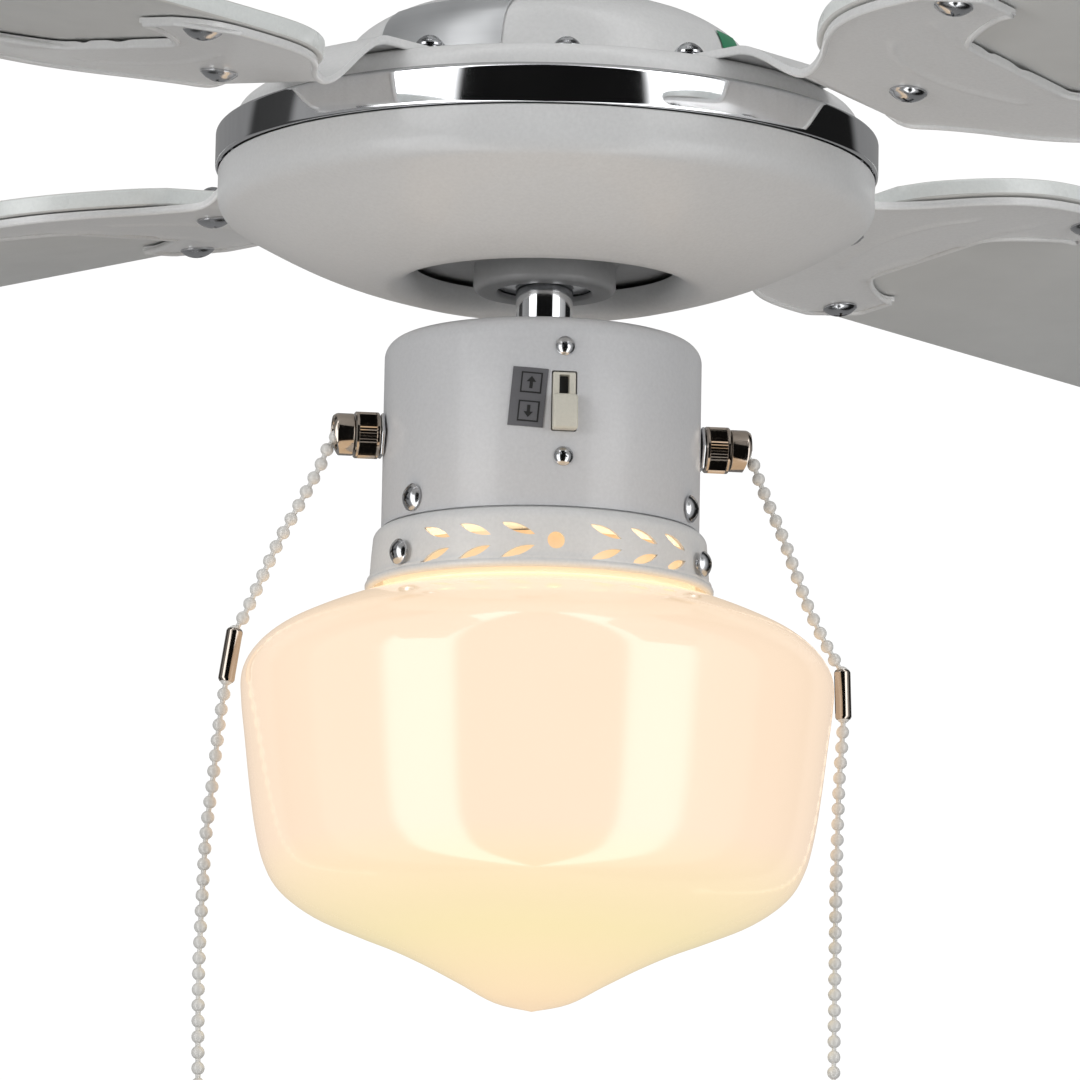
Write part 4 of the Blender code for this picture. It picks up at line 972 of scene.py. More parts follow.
@dataclass
class Motor:
    """Everything that turns, apart from the blades, and what the motor holds inside."""

    band_r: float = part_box("chrome_band")[1].x
    band_height: float = 0.012
    case_lip_r: float = 0.099
    lip_z: float = BAND_Z + 0.0136
    flange_z: float = BAND_Z + 0.0210
    dome_r: float = 0.066
    dome_top_r: float = 0.027
    dome_top_z: float = BAND_Z + 0.056
    cover_r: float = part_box("lower_cover")[1].x
    hub_r: float = 0.050
    cover_depth: float = 0.0365
    cover_lip_r: float = 0.008
    boss_r: float = 0.0225
    boss_hole_r: float = 0.0150
    boss_z: float = BAND_Z - 0.0375
    boss_floor_z: float = BAND_Z - 0.0275
    case_screw_r: float = 0.080
    case_head_r: float = 0.0047
    pan_r: float = 0.0835
    pan_flange_r: float = 0.101
    pan_neck_r: float = 0.060
    case_screw_azimuth: float = 4.0

    def build(self, heads: ScrewHeads) -> None:
        """Makes the motor's outer pieces and dresses its inner ones."""
        self.upper_case()
        self.band()
        self.cover()
        self.pan()
        self.shaft()
        self.labels()
        turns = [self.case_screw_azimuth + 90 * n for n in range(4)]
        places = [Matrix.Translation(direction(turn) * self.case_screw_r + UP * self.flange_z)
                  for turn in turns]
        screws = joined(heads.on_washer(place, self.case_head_r, 37.0 * n) for n, place in enumerate(places))
        piece_of(screws, "case_screws", Body.ROTOR, ZINC)
        for node, finish in (("stator_core", LAMINATIONS), ("rotor_ring", LAMINATIONS),
                             ("stator_winding", COPPER), ("upper_bearing", ZINC), ("lower_bearing", ZINC)):
            finish.dress(frame["nodes"][node])

    def upper_case(self) -> None:
        """Dome with a flange and a turned-down lip."""
        wall, flange, top = 0.0016, self.flange_z, self.dome_top_z
        hole = 0.0123
        lip = arc((self.case_lip_r - 0.006, flange - 0.006), 0.006, 0, 90)
        dome = smooth_profile(((self.dome_r, flange + 0.0025), (0.0655, flange + 0.009),
                               (0.0640, flange + 0.0160),
                               (0.0600, flange + 0.0215), (0.0500, flange + 0.0275),
                               (0.0360, flange + 0.0315), (self.dome_top_r + 0.001, flange + 0.0330)))
        outer = [(self.case_lip_r, self.lip_z)] + lip + [(self.dome_r + 0.0025, flange)] + dome + arc(
            (self.dome_top_r - 0.002, top - 0.002), 0.002, 0, 90, 4) + [
            (hole + 0.0005, top), (hole, top - 0.0005)]
        inner = [(hole, top - wall), (self.dome_top_r - wall, top - wall),
                 (self.dome_top_r - wall, flange + 0.031),
                 (0.048, flange + 0.0262), (0.0575, flange + 0.0205), (0.0625, flange + 0.015),
                 (self.dome_r - wall, flange + 0.002), (self.dome_r - wall, flange - wall),
                 (self.case_lip_r - 0.006, flange - wall), (self.case_lip_r - wall, flange - 0.006),
                 (self.case_lip_r - wall, self.lip_z)]
        piece_of(spun(outer + inner), "motor_dome", Body.ROTOR, WHITE_ENAMEL, ["motor_upper_case"], 40)

    def band(self) -> None:
        """Chrome band with rolled rims."""
        low, high, r = BAND_Z, BAND_Z + self.band_height, self.band_r
        wall, roll = 0.0010, 0.0012
        outer = arc((r - roll, low + roll), roll, -70, 0, 4) + arc((r - roll, high - roll), roll, 0, 90, 5)
        inner = [(self.case_lip_r + 0.0004, high), (self.case_lip_r + 0.0004, high - wall),
                 (r - wall - 0.001, high - wall),
                 (r - wall - 0.0003, high - 0.0022), (r - wall - 0.0003, low + 0.0004)]
        piece_of(spun(outer + inner, 2 * FINE_STEPS), "mirror_band", Body.ROTOR, CHROME, ["chrome_band"], 50)

    def cover(self) -> None:
        """Shallow bowl with an upright rim, a round corner and an edge turned up into the hub opening."""
        top, wall = BAND_Z - GAP, 0.0012
        corner, rim = 0.0075, 0.0085
        centre = (self.cover_r - corner, top - rim)
        line = [(self.cover_r - 0.0004, top), (self.cover_r, top - 0.0006)] + arc(centre, corner, 0, -62, 10)
        start, end = line[-1], (self.hub_r, BAND_Z - self.cover_depth)
        for step in range(1, 25):
            share = step / 24
            sag = 0.0022 * math.sin(math.pi * share)
            line.append((start[0] + (end[0] - start[0]) * share,
                         start[1] + (end[1] - start[1]) * share - sag))
        hub = (self.hub_r, end[1] + self.cover_lip_r)
        line += arc(hub, self.cover_lip_r, -90, -180, 10)[1:]
        inner = inset_profile(line, wall)
        inner[0] = (self.cover_r - wall, top)
        piece_of(spun(line + inner[::-1]), "bowl_cover", Body.ROTOR, WHITE_ENAMEL, ["lower_cover"], 40)

    def pan(self) -> None:
        """Pan with a raised boss round the shaft, seen through the cover's hub."""
        wall, rim, floor = 0.0016, self.lip_z - GAP, BAND_Z - 0.012
        r, low, deep = self.pan_r, self.boss_floor_z, self.boss_z
        outer = [(self.pan_flange_r, rim - 0.001), (r, rim - 0.001)]
        outer += arc((r - 0.004, floor + 0.002), 0.004, 0, -60, 4)
        outer += [(self.pan_neck_r, low + 0.002), (self.boss_r + 0.006, low), (self.boss_r + 0.0012, low),
                  (self.boss_r, low - 0.0012)]
        outer += arc((self.boss_r - 0.002, deep + 0.002), 0.002, 0, -90, 6)
        outer += arc((self.boss_hole_r + 0.0008, deep + 0.0008), 0.0008, -90, -180, 3)
        inner = [(self.boss_hole_r, deep + wall), (0.0178, deep + wall), (0.0178, low + wall + 0.002),
                 (self.pan_neck_r - wall, low + 0.002 + 1.4 * wall), (r - wall, floor + wall),
                 (r - wall, rim),
                 (self.pan_flange_r, rim)]
        piece_of(spun(outer + inner), "motor_pan", Body.ROTOR, PAN_PAINT, ["motor_lower_case"], 40)

    def shaft(self) -> None:
        """Bright hollow shaft, a black ring inside the boss that is painted shade for the dark hole round the
        shaft, and a bearing ring.
        """
        low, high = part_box("motor_shaft")[0].z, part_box("motor_shaft")[1].z
        r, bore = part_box("motor_shaft")[1].x, 0.0045
        tube = ((bore, low), (r, low), (r, high), (bore, high))
        piece_of(spun(softened(tube, 0.0005), 96), "bright_shaft", Body.HANGING, CHROME, ["motor_shaft"])
        # The black ring is painted shade: it darkens the hole round the shaft behind the bearing ring.
        for name, finish, inner, outer, rise in (("painted_shade_ring", BLACK_PLASTIC, r + GAP, 0.0172, 0.0052),
                                                 ("bearing_ring", ZINC, 0.0118, 0.0140, 0.0040)):
            ring = ((inner, self.boss_z + rise), (outer, self.boss_z + rise),
                    (outer, self.boss_z + rise + 0.0009), (inner, self.boss_z + rise + 0.0009))
            piece_of(spun(softened(ring, 0.0002), MID_STEPS), name, Body.HANGING, finish)

    def labels(self) -> None:
        """Blank rating plate and a small sticker on the dome."""
        for name, finish, azimuth, width, height, middle in (
                ("rating_plate", LABEL_SILVER, -33.0, 0.046, 0.022, self.flange_z + 0.0165),
                ("dome_sticker", LABEL_GREEN, 62.0, 0.012, 0.010, self.flange_z + 0.0150)):
            bm = bmesh.new()
            bmesh.ops.create_grid(bm, x_segments=24, y_segments=14, size=0.5)
            bmesh.ops.scale(bm, vec=(width, height, 1), verts=bm.verts)
            for vert in bm.verts:
                x, y, _ = vert.co
                at = self.on_dome(y + middle - self.flange_z)
                out = direction(azimuth + math.degrees(x / at[0])) * (at[0] + 0.0004)
                vert.co = out + UP * (self.flange_z + at[1] + 0.0003)
            piece_of(bm, name, Body.ROTOR, finish)

    def on_dome(self, climbed: float) -> Point2:
        """(radius, height over the flange) of a point some way up the dome's side."""
        line = [Vector(p) for p in smooth_profile(((self.dome_r, 0.0025), (0.0655, 0.009), (0.0640, 0.0160),
                                                   (0.0600, 0.0215), (0.0500, 0.0275), (0.0360, 0.0315)))]
        walked = 0.0025
        for first, second in zip(line, line[1:]):
            step = (second - first).length
            if walked + step >= climbed:
                at = first.lerp(second, (climbed - walked) / step)
                return at.x, at.y
            walked += step
        return line[-1].x, line[-1].y


@dataclass
class Blade:
    """One blade with its iron, the iron's rolled edge and the screws that hold them."""

    number: int
    first_azimuth: float = 47.7
    count: int = 4
    pitch: float = math.atan(0.131)
    iron_thick: float = 0.0015
    plane_z: float = BAND_Z + 0.0065
    foot_z: float = BAND_Z + 0.0210 + GAP
    inner_r: float = 0.070
    neck_r: float = 0.101
    flat_r: float = 0.130
    lobe_r: float = 0.221
    middle_r: float = 0.191
    widths: tuple[Point2, ...] = ((0.070, 0.0265), (0.118, 0.0255), (0.131, 0.0275), (0.144, 0.0370),
                                  (0.156, 0.0490),
                                  (0.168, 0.0575), (0.182, 0.0625), (0.200, 0.0645), (0.211, 0.0637),
                                  (0.217, 0.0600), (0.221, 0.0530))
    thick: float = 0.0058
    tip_r: float = 0.533
    tip_half: float = 0.083
    corner_r: float = 0.026
    root: tuple[Point2, ...] = ((0.139, 0.0300), (0.145, 0.0405), (0.156, 0.0515), (0.168, 0.0595),
                                (0.182, 0.0645), (0.202, 0.0665))
    scallops: tuple[tuple[Point2, ...], ...] = (
        ((0.171, -0.036), (0.165, -0.027), (0.162, -0.013), (0.164, 0.004), (0.173, 0.023)),
        ((0.193, -0.043), (0.189, -0.028), (0.190, -0.016), (0.196, -0.010), (0.192, -0.002), (0.188, 0.009),
         (0.188, 0.020), (0.192, 0.028)))
    ridge_width: float = 0.0013
    ridge_height: float = 0.0007
    screws: tuple[Point2, ...] = ((0.148, 0.0), (0.209, 0.054), (0.209, -0.054))
    head_r: float = 0.0058
    upper_head_r: float = 0.0039
    foot_screw_r: float = 0.080
    foot_head_r: float = 0.0047
    foot_screw_azimuth: float = 15.0

    def build(self, heads: ScrewHeads) -> None:
        """Makes the blade's pieces."""
        self.iron()
        self.rolled_edge()
        self.blade()
        self.fixings(heads)

    def frame(self) -> Matrix:
        """Frame whose +X runs out along the blade."""
        out = direction(self.first_azimuth + 360 / self.count * self.number)
        return Matrix((out, UP.cross(out), UP)).transposed().to_4x4()

    def plane(self, lift: float = 0.0) -> Matrix:
        """The blade's tilted plane, lifted by a distance."""
        return Matrix.Translation((0, 0, self.plane_z + lift)) @ Matrix.Rotation(-self.pitch, 4, "X")

    def edge_r(self, share: float) -> float:
        """Distance from the axis of the iron's outer edge at a share of its half width, with two lobes."""
        return self.middle_r + (self.lobe_r - self.middle_r) * ease((share - 0.35) / 0.40)

    def on_iron(self, reach: float, side: float) -> Vector:
        """Point on the iron's underside, in the blade's own frame."""
        on_plane = self.plane() @ Vector((reach, side, 0))
        drop = ease((reach - self.neck_r) / (self.flat_r - self.neck_r))
        return Vector((reach, side, self.foot_z + (on_plane.z - self.foot_z) * drop))

    def iron(self) -> None:
        """Stamped leaf with embossed scallops."""
        bm = bmesh.new()
        bmesh.ops.create_grid(bm, x_segments=96, y_segments=84, size=0.5)
        lines = [[Vector(point) for point in smooth_profile_2d(line)] for line in self.scallops]
        widths = smooth_profile_2d(self.widths)
        for vert in bm.verts:
            share = 2 * vert.co.y
            reach = self.inner_r + (self.edge_r(abs(share)) - self.inner_r) * (vert.co.x + 0.5)
            side = share * between(widths, reach)
            at = self.on_iron(reach, side)
            here = Vector((reach, side))
            away = min((distance_to(here, line) for line in lines), default=1.0)
            at.z -= self.ridge_height * math.exp(-((away / self.ridge_width) ** 2))
            vert.co = self.frame() @ at
        grown = bmesh.ops.extrude_face_region(bm, geom=bm.faces[:])
        top = [item for item in grown["geom"] if isinstance(item, bmesh.types.BMVert)]
        bmesh.ops.translate(bm, verts=top, vec=(0, 0, self.iron_thick))
        piece_of(bm, f"stamped_iron_{self.number + 1}", Body.ROTOR, WHITE_ENAMEL,
                 [f"blade_iron_{self.number + 1}"], 50)

    def rolled_edge(self) -> None:
        """Bead along the iron's edge, from one side of the neck round the lobes to the other."""
        inset, radius = 0.0009, 0.0010
        widths = smooth_profile_2d(self.widths)
        shares = [step / 40 for step in range(-40, 41)]
        sides = [self.inner_r + 0.012 + 0.0035 * step for step in range(36)]
        sides = [reach for reach in sides if reach < self.lobe_r - 0.004]
        line = [self.on_iron(reach, -(between(widths, reach) - inset)) for reach in sides]
        for share in shares:
            reach = self.edge_r(abs(share)) - inset
            line.append(self.on_iron(reach, share * (between(widths, reach) - inset)))
        line += [self.on_iron(reach, between(widths, reach) - inset) for reach in reversed(sides)]
        frame_here = self.frame()
        points = even_line([frame_here @ (point - UP * 0.0002) for point in line], 0.0025)
        piece_of(tube_along(points, radius, 8), f"iron_rolled_edge_{self.number + 1}", Body.ROTOR,
                 WHITE_ENAMEL, sharp=80)

    def outline(self) -> list[Point2]:
        """Outline of the blade in its own plane."""
        root = smooth_profile_2d(self.root)
        centre = (self.tip_r - self.corner_r, self.tip_half - self.corner_r)
        side = root + arc(centre, self.corner_r, 90, 0, 12)
        return side + [(reach, -half) for reach, half in reversed(side)]

    def blade(self) -> None:
        """Foil-covered board with an edge band and rounded rims."""
        place = self.frame() @ self.plane(self.iron_thick + 2 * GAP)
        bm = slab(self.outline(), 0, self.thick, place, 0.0011, 3)
        made = piece_of(bm, f"board_{self.number + 1}", Body.ROTOR, BLADE_FOIL, [f"blade_{self.number + 1}"],
                        40)
        made.data.materials.append(EDGE_BAND.material())
        normal = place.to_3x3() @ UP
        for face in made.data.polygons:
            face.material_index = int(abs(face.normal.dot(normal)) < 0.5)

    def fixings(self, heads: ScrewHeads) -> None:
        """Screws under the iron, their domes on top of the blade, and the two screws of the iron's foot."""
        place = self.frame() @ self.plane()
        down = Matrix.Rotation(math.pi, 4, "X")
        parts = []
        for index, (reach, side) in enumerate(self.screws):
            spot = Matrix.Translation((reach, side, 0))
            parts.append(heads.at(place @ spot @ down, self.head_r, 0.55, 31.0 * index + 17 * self.number))
            upper = Matrix.Translation((0, 0, self.iron_thick + self.thick + 3 * GAP))
            parts.append(heads.at(place @ spot @ upper, self.upper_head_r, 0.6, 12.0 * index))
        piece_of(joined(parts), f"blade_screws_{self.number + 1}", Body.ROTOR, ZINC)
        feet = []
        for side in (-1, 1):
            azimuth = self.first_azimuth + 360 / self.count * self.number + side * self.foot_screw_azimuth
            at = direction(azimuth) * self.foot_screw_r + UP * (self.foot_z + self.iron_thick)
            turn = 25.0 * side + 40 * self.number
            feet.append(heads.on_washer(Matrix.Translation(at), self.foot_head_r, turn))
        piece_of(joined(feet), f"iron_screws_{self.number + 1}", Body.ROTOR, ZINC)


def smooth_profile_2d(points: Sequence[Point2], steps: int = 6) -> list[Point2]:
    """Smooth curve through flat points, which may have either sign."""
    return [(p.x, p.y) for p in smooth_line([Vector(point) for point in points], steps)]


def distance_to(here: Vector, line: Sequence[Vector]) -> float:
    """Shortest distance from a flat point to a line of points."""
    best = 1.0
    for first, second in zip(line, line[1:]):
        run = second - first
        share = min(1.0, max(0.0, (here - first).dot(run) / run.length_squared))
        best = min(best, (here - first.lerp(second, share)).length)
    return best


def tube_along(points: Sequence[Vector], radius: float, sides: int) -> bmesh.types.BMesh:
    """Closed round tube along points.

    Args:
        points: The middle of the tube, in order.
        radius: Its radius.
        sides: Number of its sides.

    Returns:
        The shape.
    """
    bm = bmesh.new()
    start = bmesh.ops.create_circle(bm, cap_ends=True, segments=sides, radius=radius,
                                    matrix=along(points[0], points[1]))["verts"]
    ring = list(start)
    face = next(face for face in ring[0].link_faces)
    for before, here, after in zip(points, points[1:], [*points[2:], points[-1] * 2 - points[-2]]):
        grown = bmesh.ops.extrude_face_region(bm, geom=[face])["geom"]
        face = next(item for item in grown if isinstance(item, bmesh.types.BMFace))
        verts = list(face.verts)
        bmesh.ops.translate(bm, verts=verts, vec=here - before)
        turn = (here - before).rotation_difference(after - here).to_matrix()
        bmesh.ops.rotate(bm, cent=here, matrix=turn, verts=verts)
    return bm


@dataclass
class SwitchHousing:
    """Cup under the motor with the reversing switch, the label beside it and the two pull switches."""

    radius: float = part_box("switch_housing")[1].x
    top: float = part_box("switch_housing")[1].z
    bottom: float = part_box("switch_housing")[0].z
    corner: float = 0.006
    wall: float = 0.0014
    switch_azimuth: float = 7.7
    switch_z: float = BAND_Z - 0.0815
    window: Point2 = (0.0080, 0.0190)
    pull_z: float = BAND_Z - 0.0855
    screw_z: float = BAND_Z - 0.1092
    screw_offset: float = 0.0173
    collar_r: float = 0.00735
    collar_length: float = 0.0078
    nose_r: float = 0.00665
    nose_length: float = 0.0065
    nose_slant: float = 19.5
    nose_bore: float = 0.0046
    nut_r: float = 0.0076
    nut_length: float = 0.0014
    nipple_r: float = 0.0047
    shaft_r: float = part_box("motor_shaft")[1].x

    def build(self, heads: ScrewHeads) -> None:
        """Makes the housing and everything on it."""
        self.cup()
        self.screws(heads)
        self.reversing_switch()
        self.label()
        for word, azimuth in (("fan", self.switch_azimuth + 90), ("light", self.switch_azimuth - 90)):
            self.pull_collar(word, azimuth)
        for node, finish in (("fan_pull_switch", BLACK_PLASTIC), ("light_pull_switch", BLACK_PLASTIC),
                             ("capacitor", BLACK_PLASTIC), ("shaft_nut", ZINC)):
            finish.dress(frame["nodes"][node])

    def fixing_azimuths(self) -> list[float]:
        """Azimuths of the three screws of the housing."""
        return [self.switch_azimuth + offset for offset in (-60, 60, 180)]

    def cup(self) -> None:
        """Drawn cup with a round shoulder and a window for the switch."""
        r, wall, hole = self.radius, self.wall, self.shaft_r + GAP
        centre = (r - self.corner, self.top - self.corner)
        outer = [(hole, self.top), (hole + 0.004, self.top)] + arc(centre, self.corner, 90, 0, 12) + [
            (r, self.bottom + 0.0008), (r - 0.0003, self.bottom)]
        inner = [(r - wall, self.bottom)] + arc(centre, self.corner - wall, 0, 90,
                                                8) + [(hole, self.top - wall)]
        window = rounded_block((*self.window, 0.012), outward(self.switch_azimuth, r, self.switch_z), 0.0006,
                               2)
        bm = pierced(spun(outer + inner, 2 * FINE_STEPS), window)
        piece_of(bm, "housing_cup", Body.HANGING, HOUSING_ENAMEL, ["switch_housing"], 40)

    def screws(self, heads: ScrewHeads) -> None:
        """Three housing screws and the two that hold the reversing switch."""
        for number, azimuth in enumerate(self.fixing_azimuths(), 1):
            place = outward(azimuth, self.radius + GAP, self.screw_z)
            both = joined([heads.at(place, 0.0043, 0.62, 50.0 * number), shank(place, 0.0017, 0.0065)])
            piece_of(both, f"housing_fixing_screw_{number}", Body.HANGING, ZINC, [f"housing_screw_{number}"])
        pair = [heads.at(outward(self.switch_azimuth, self.radius, self.switch_z + side * self.screw_offset),
                         0.0030, 0.7, 30.0 * side) for side in (-1, 1)]
        piece_of(joined(pair), "switch_screws", Body.HANGING, ZINC)

    def reversing_switch(self) -> None:
        """Moulded switch frame with a dark slot, and the knob that slides over it."""
        width, height = self.window[0] - 0.0008, self.window[1] - 0.0008
        front = self.radius + 0.0002
        place = outward(self.switch_azimuth, 0, self.switch_z)
        body = rounded_block((width, height, 0.012), place @ Matrix.Translation((0, 0, front - 0.006)),
                             0.0005)
        groove = rounded_block((0.0032, 0.0165, 0.008), place @ Matrix.Translation((0, 0, front)), 0.0003, 2)
        piece_of(pierced(body, groove), "switch_body", Body.HANGING, IVORY, ["reversing_switch"])
        slot = rounded_block((0.0030, 0.0163, 0.001), place @ Matrix.Translation((0, 0, front - 0.0032)),
                             0.0002, 1)
        piece_of(slot, "switch_slot", Body.HANGING, BLACK_PLASTIC)
        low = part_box("reversing_knob")[0].z - self.switch_z
        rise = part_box("reversing_knob")[1].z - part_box("reversing_knob")[0].z
        knob_place = place @ Matrix.Translation((0, low + rise / 2, self.radius + 0.0028))
        knob = rounded_block((0.0078, rise, 0.0042), knob_place, 0.0010, 4)
        for vert in knob.verts:
            local = knob_place.inverted() @ vert.co
            if local.z > 0:
                local.z -= 0.0011 * (1 - ease((rise / 2 - local.y) / 0.004))
                local.z += 0.0004 * math.cos(math.pi * local.y / rise)
                vert.co = knob_place @ local
        stem_place = place @ Matrix.Translation((0, low + rise / 2 + 0.0012, self.radius - 0.0005))
        stem = rounded_block((0.0024, 0.0070, 0.0050), stem_place, 0.0002, 1)
        piece_of(joined([knob, stem]), "switch_knob", Body.REVERSING_KNOB, IVORY, ["reversing_knob"])

    def label(self) -> None:
        """Grey label beside the switch with two squares and an arrow in each, one up and one down."""
        azimuth = self.switch_azimuth - math.degrees(0.0112 / self.radius)
        tilt = -5.0
        middle = self.switch_z + 0.0010
        plate = curved_plate(0.0110, 0.0185, azimuth, self.radius + 0.0001, middle, tilt)
        piece_of(plate, "direction_label", Body.HANGING, LABEL_GREY)
        rims, squares, arrows = [], [], []
        for side in (-1, 1):
            slope = math.radians(tilt)
            x, y = 0.0006 - side * 0.0045 * math.sin(slope), side * 0.0045 * math.cos(slope)
            at = azimuth + math.degrees(x / self.radius)
            rims.append(curved_plate(0.0066, 0.0066, at, self.radius + 0.0004, middle + y, tilt, 0.0001))
            squares.append(curved_plate(0.0056, 0.0056, at, self.radius + 0.0005, middle + y, tilt, 0.0001))
            place = outward(at, self.radius + 0.00062, middle + y) @ Matrix.Rotation(slope, 4, "Z")
            shape = [(-0.0005, -0.0019), (0.0005, -0.0019), (0.0005, 0.0002), (0.0015, 0.0002), (0.0, 0.0020),
                     (-0.0015, 0.0002), (-0.0005, 0.0002)]
            arrows.append(slab([(px, side * py) for px, py in shape], 0, 0.0001, place))
        piece_of(joined(rims), "label_rims", Body.HANGING, LABEL_INK)
        piece_of(joined(squares), "label_squares", Body.HANGING, LABEL_GREY)
        piece_of(joined(arrows), "label_arrows", Body.HANGING, LABEL_INK)

    def pull_collar(self, word: str, azimuth: float) -> None:
        """Nut, knurled collar and slanted nose that one chain comes out of."""
        place = outward(azimuth, 0, self.pull_z)
        start = self.radius + GAP
        hexagon = arc((0, 0), self.nut_r, 0, 300, 5)
        nut = slab(hexagon, start, start + self.nut_length - GAP, place, 0.0004, 2)
        bore = spun(((0, 0.04), (self.nipple_r + 0.0004, 0.04), (self.nipple_r + 0.0004, 0.06), (0, 0.06)),
                    SMALL_STEPS, place)
        piece_of(pierced(nut, bore), f"{word}_hex_nut", Body.HANGING, ZINC, [f"{word}_lock_nut"])
        self.knurled_collar(word, place)
        nose_start = self.radius + self.nut_length + GAP + self.collar_length + GAP
        nose_end = nose_start + self.nose_length
        flare = self.nose_bore + 0.0006
        profile = ((self.nose_bore, nose_start), (self.nose_r, nose_start), (self.nose_r, nose_end - 0.0012),
                   (self.nose_r - 0.0008, nose_end), (flare, nose_end), (self.nose_bore, nose_end - 0.003))
        slant = Matrix.Rotation(math.radians(self.nose_slant), 4, "X")
        mouth = place @ Matrix.Translation((0, -0.0005, nose_end)) @ slant @ Matrix.Translation((0, -0.010,
                                                                                                 0.006))
        cutter = bmesh.new()
        bmesh.ops.create_cube(cutter, size=1, matrix=mouth @ Matrix.Diagonal((0.030, 0.020, 0.012, 1)))
        nose = pierced(spun(softened(profile, 0.0004), MID_STEPS, place), cutter)
        piece_of(nose, f"{word}_slanted_nose", Body.HANGING, NICKEL, [f"{word}_chain_nose"])

    def knurled_collar(self, word: str, place: Matrix) -> None:
        """Sleeve with straight knurling between two plain rims."""
        low = self.radius + self.nut_length + GAP
        high = low + self.collar_length
        r, bore = self.collar_r, self.nipple_r + 0.0004
        profile = ((bore, low), (r - 0.0004, low), (r, low + 0.0004), (r, low + 0.0010),
                   (r - 0.0003, low + 0.0012),
                   (r - 0.0003, high - 0.0012), (r, high - 0.0010), (r, high - 0.0004), (r - 0.0004, high),
                   (bore, high))
        ribs = 44
        bm = spun(profile, 2 * ribs)
        bm.verts.ensure_lookup_table()
        for vert in bm.verts:
            flat = Vector((vert.co.x, vert.co.y, 0))
            if abs(flat.length - (r - 0.0003)) < 1e-5:
                turn = math.atan2(vert.co.y, vert.co.x) * 2 * ribs / math.tau
                vert.co += flat.normalized() * (0.0003 if round(turn) % 2 else -0.0002)
        bmesh.ops.transform(bm, matrix=place, verts=bm.verts)
        piece_of(bm, f"{word}_knurled_collar", Body.HANGING, NICKEL, [f"{word}_chain_collar"], 20)


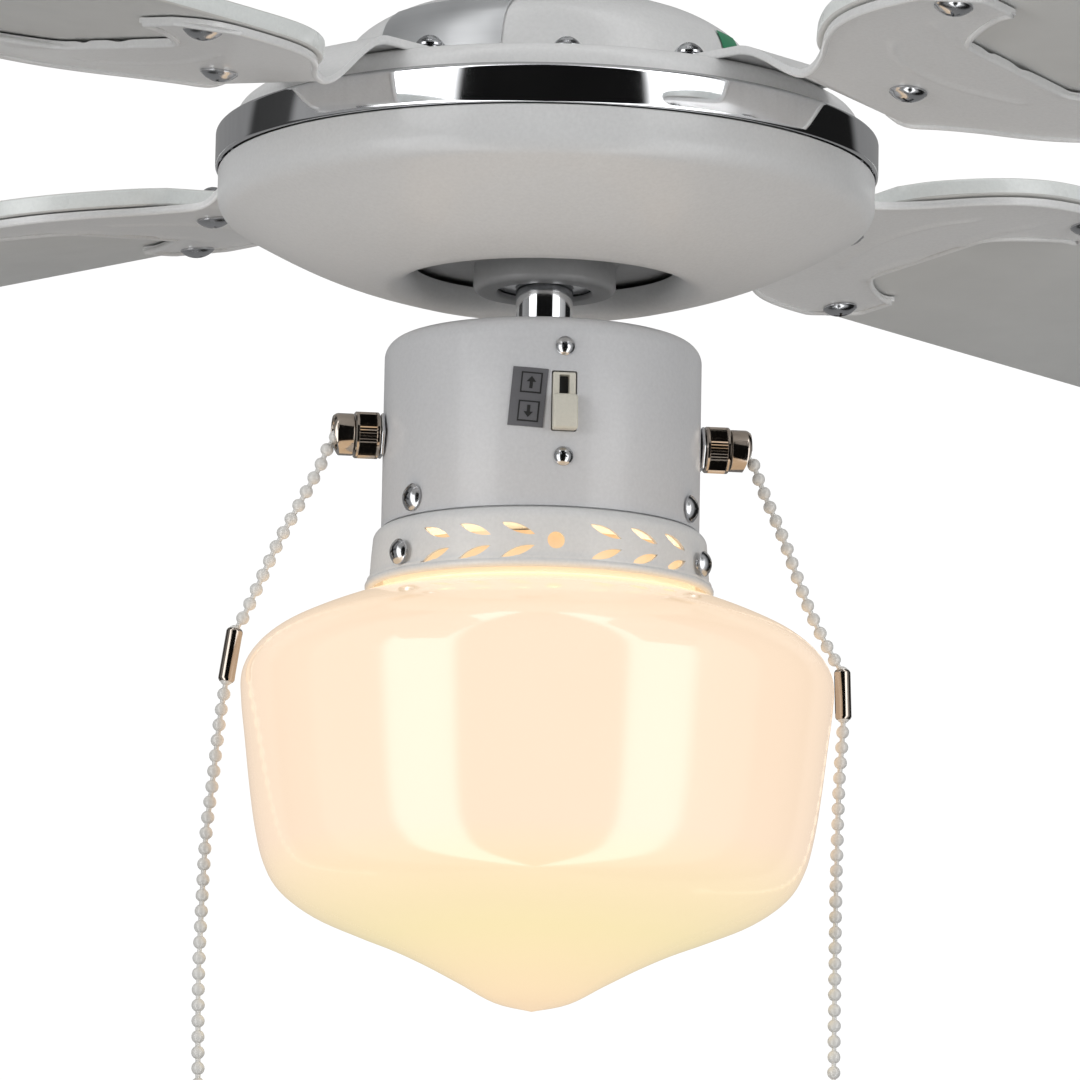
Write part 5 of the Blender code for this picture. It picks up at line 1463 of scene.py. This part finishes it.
@dataclass
class LightKit:
    """Fitter, lampholder, bulb, glass shade and the screws that hold it."""

    top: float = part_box("switch_housing")[0].z - GAP
    bottom: float = BAND_Z - 0.134
    top_r: float = 0.0525
    bottom_r: float = 0.0547
    wall: float = 0.0012
    collar_r: float = 0.0482
    collar_rise: float = 0.0075
    lampholder_r: float = 0.0190
    switch_azimuth: float = 7.7
    hole_z: float = BAND_Z - 0.1256
    hole_step: float = 15.0
    hole_spread: float = 0.0072
    leaf: Point2 = (0.0056, 0.0013)
    leaf_slant: float = 20.0
    dot_r: float = 0.0027
    dot_shift: float = -2.3
    thumb_z: float = BAND_Z - 0.1268
    neck_r: float = 0.0490
    neck_top: float = BAND_Z - 0.1220
    glass: float = 0.0028
    profile: tuple[Point2, ...] = (
        (0.0500, -0.1350), (0.0600, -0.1378), (0.0720, -0.1425), (0.0820, -0.1476), (0.0890, -0.1538),
        (0.0926, -0.1610),
        (0.0925, -0.1700), (0.0912, -0.1810), (0.0892, -0.1975), (0.0872, -0.2100), (0.0845, -0.2202),
        (0.0797, -0.2283),
        (0.0700, -0.2355), (0.0566, -0.2413), (0.0450, -0.2458), (0.0345, -0.2506), (0.0230, -0.2566),
        (0.0120, -0.2625), (0.0, -0.2654))

    def build(self, heads: ScrewHeads) -> None:
        """Makes the light kit."""
        self.fitter()
        self.shade()
        self.thumbscrews(heads)
        PORCELAIN.dress(frame["nodes"]["lampholder"])
        LAMP_GLASS.dress(frame["nodes"]["bulb"])

    def fitter(self) -> None:
        """Pierced cap with a round shoulder and a beaded lower edge."""
        corner, wall = 0.0040, self.wall
        shoulder = (self.top_r - corner, self.top - corner)
        collar_top = self.top + self.collar_rise
        outer = [(self.collar_r, collar_top), (self.collar_r, self.top)] + arc(shoulder, corner, 90, 0, 8) + [
            (self.top_r + 0.0004, self.top - 0.0085), (self.top_r + 0.0009, self.top - 0.0165),
            (self.bottom_r - 0.0006, self.bottom + 0.0034)]
        outer += arc((self.bottom_r - 0.0012, self.bottom + 0.0014), 0.0013, 60, -90, 6)
        inner = [(self.bottom_r - 0.0006 - wall, self.bottom),
                 (self.bottom_r - wall - 0.0012, self.bottom + 0.003),
                 (self.top_r + 0.0004 - wall, self.top - 0.009)] + arc(shoulder, corner - wall, 0, 90, 4) + [
            (self.lampholder_r - 0.006, self.top - wall), (self.lampholder_r - 0.006, self.top),
            (self.collar_r - wall, self.top), (self.collar_r - wall, collar_top)]
        bm = pierced(spun(outer + inner, 2 * FINE_STEPS), self.leaf_cutter())
        piece_of(bm, "pierced_fitter", Body.HANGING, WHITE_ENAMEL, ["fitter"], 40)

    def leaf_cutter(self) -> bmesh.types.BMesh:
        """All the pierced holes: a round one under the switch and three pairs of leaves on each side."""
        half, rise = self.leaf
        radius = (half * half + rise * rise) / (2 * rise)
        turn = math.degrees(math.asin(half / radius))
        leaf = arc((0, rise - radius), radius, 90 - turn, 90 + turn, 8)
        leaf += [(x, -y) for x, y in reversed(leaf[1:-1])]
        dot = arc((0, 0), self.dot_r, 0, 345, 23)
        places = [(self.switch_azimuth + self.dot_shift, 0.0, 0.0, dot)]
        for side in (-1, 1):
            for pair in (1, 2, 3):
                azimuth = self.switch_azimuth + side * pair * self.hole_step
                for up in (-1, 1):
                    places.append((azimuth, up * self.hole_spread / 2, math.radians(-self.leaf_slant * up),
                                   leaf))
        parts = []
        for azimuth, rise, slant, outline in places:
            place = outward(azimuth, self.top_r - 0.006, self.hole_z + rise) @ Matrix.Rotation(slant, 4, "Z")
            parts.append(slab(outline, 0, 0.014, place))
        return joined(parts)

    def shade(self) -> None:
        """Opal glass with its neck inside the fitter."""
        outer = smooth_profile([(radius, BAND_Z + height) for radius, height in self.profile], 5)
        neck = [(self.neck_r, self.neck_top), (self.neck_r, outer[0][1] + 0.002)]
        line = neck + outer
        inner = inset_profile(line, self.glass)
        inner[0] = (self.neck_r - self.glass, self.neck_top)
        inner[-1] = (0.0, line[-1][1] + self.glass)
        piece_of(spun(line + inner[::-1], FINE_STEPS), "opal_shade", Body.HANGING, OPAL, ["glass_shade"], 60)

    def thumbscrews(self, heads: ScrewHeads) -> None:
        """Three screws through the fitter against the glass."""
        face = self.bottom_r + GAP
        for number, offset in enumerate((-60, 60, 180), 1):
            place = outward(self.switch_azimuth + offset, face, self.thumb_z)
            both = joined([heads.at(place, 0.0040, 0.65, 15.0 * number),
                           shank(place, 0.0017, face - self.neck_r - 2 * GAP)])
            piece_of(both, f"shade_screw_{number}", Body[f"THUMBSCREW_{number}"], ZINC,
                     [f"thumbscrew_{number}"])


FAN_CHAIN = PullChain(
    "fan", 97.7, Body.FAN_CHAIN,
    upper=((0.0555, -0.0855), (0.0600, -0.0855), (0.0640, -0.0857), (0.0668, -0.0875), (0.0690, -0.0935),
           (0.0730, -0.1030), (0.0775, -0.1130), (0.0820, -0.1250), (0.0868, -0.1370), (0.0925, -0.1480),
           (0.0968, -0.1550)),
    lower=((0.0973, -0.1690), (0.0970, -0.1770), (0.0962, -0.1900), (0.0957, -0.2130), (0.0955, -0.2350),
           (0.0955, -0.2600), (0.0955, -0.2960)))
LIGHT_CHAIN = PullChain(
    "light", -82.3, Body.LIGHT_CHAIN,
    upper=((0.0555, -0.0855), (0.0600, -0.0855), (0.0640, -0.0858), (0.0668, -0.0878), (0.0695, -0.0950),
           (0.0760, -0.1080), (0.0822, -0.1200), (0.0878, -0.1330), (0.0925, -0.1440), (0.0955, -0.1495)),
    lower=((0.0977, -0.1645), (0.0995, -0.1780), (0.1012, -0.1970), (0.1028, -0.2130), (0.1036, -0.2350),
           (0.1040, -0.2550), (0.1038, -0.2720), (0.1032, -0.2960)))


def main() -> None:
    """Builds the scene, the chains first and then the fan from the ceiling down."""
    logging.basicConfig(level=logging.INFO, format="%(name)s: %(message)s")
    Stage().build()
    FAN_CHAIN.build()
    LIGHT_CHAIN.build()
    heads = ScrewHeads()
    Hanger().build(heads)
    Motor().build(heads)
    for number in range(4):
        Blade(number).build(heads)
    SwitchHousing().build(heads)
    LightKit().build(heads)
    bpy.data.meshes.remove(heads.pattern)


if __name__ == "__main__":
    main()
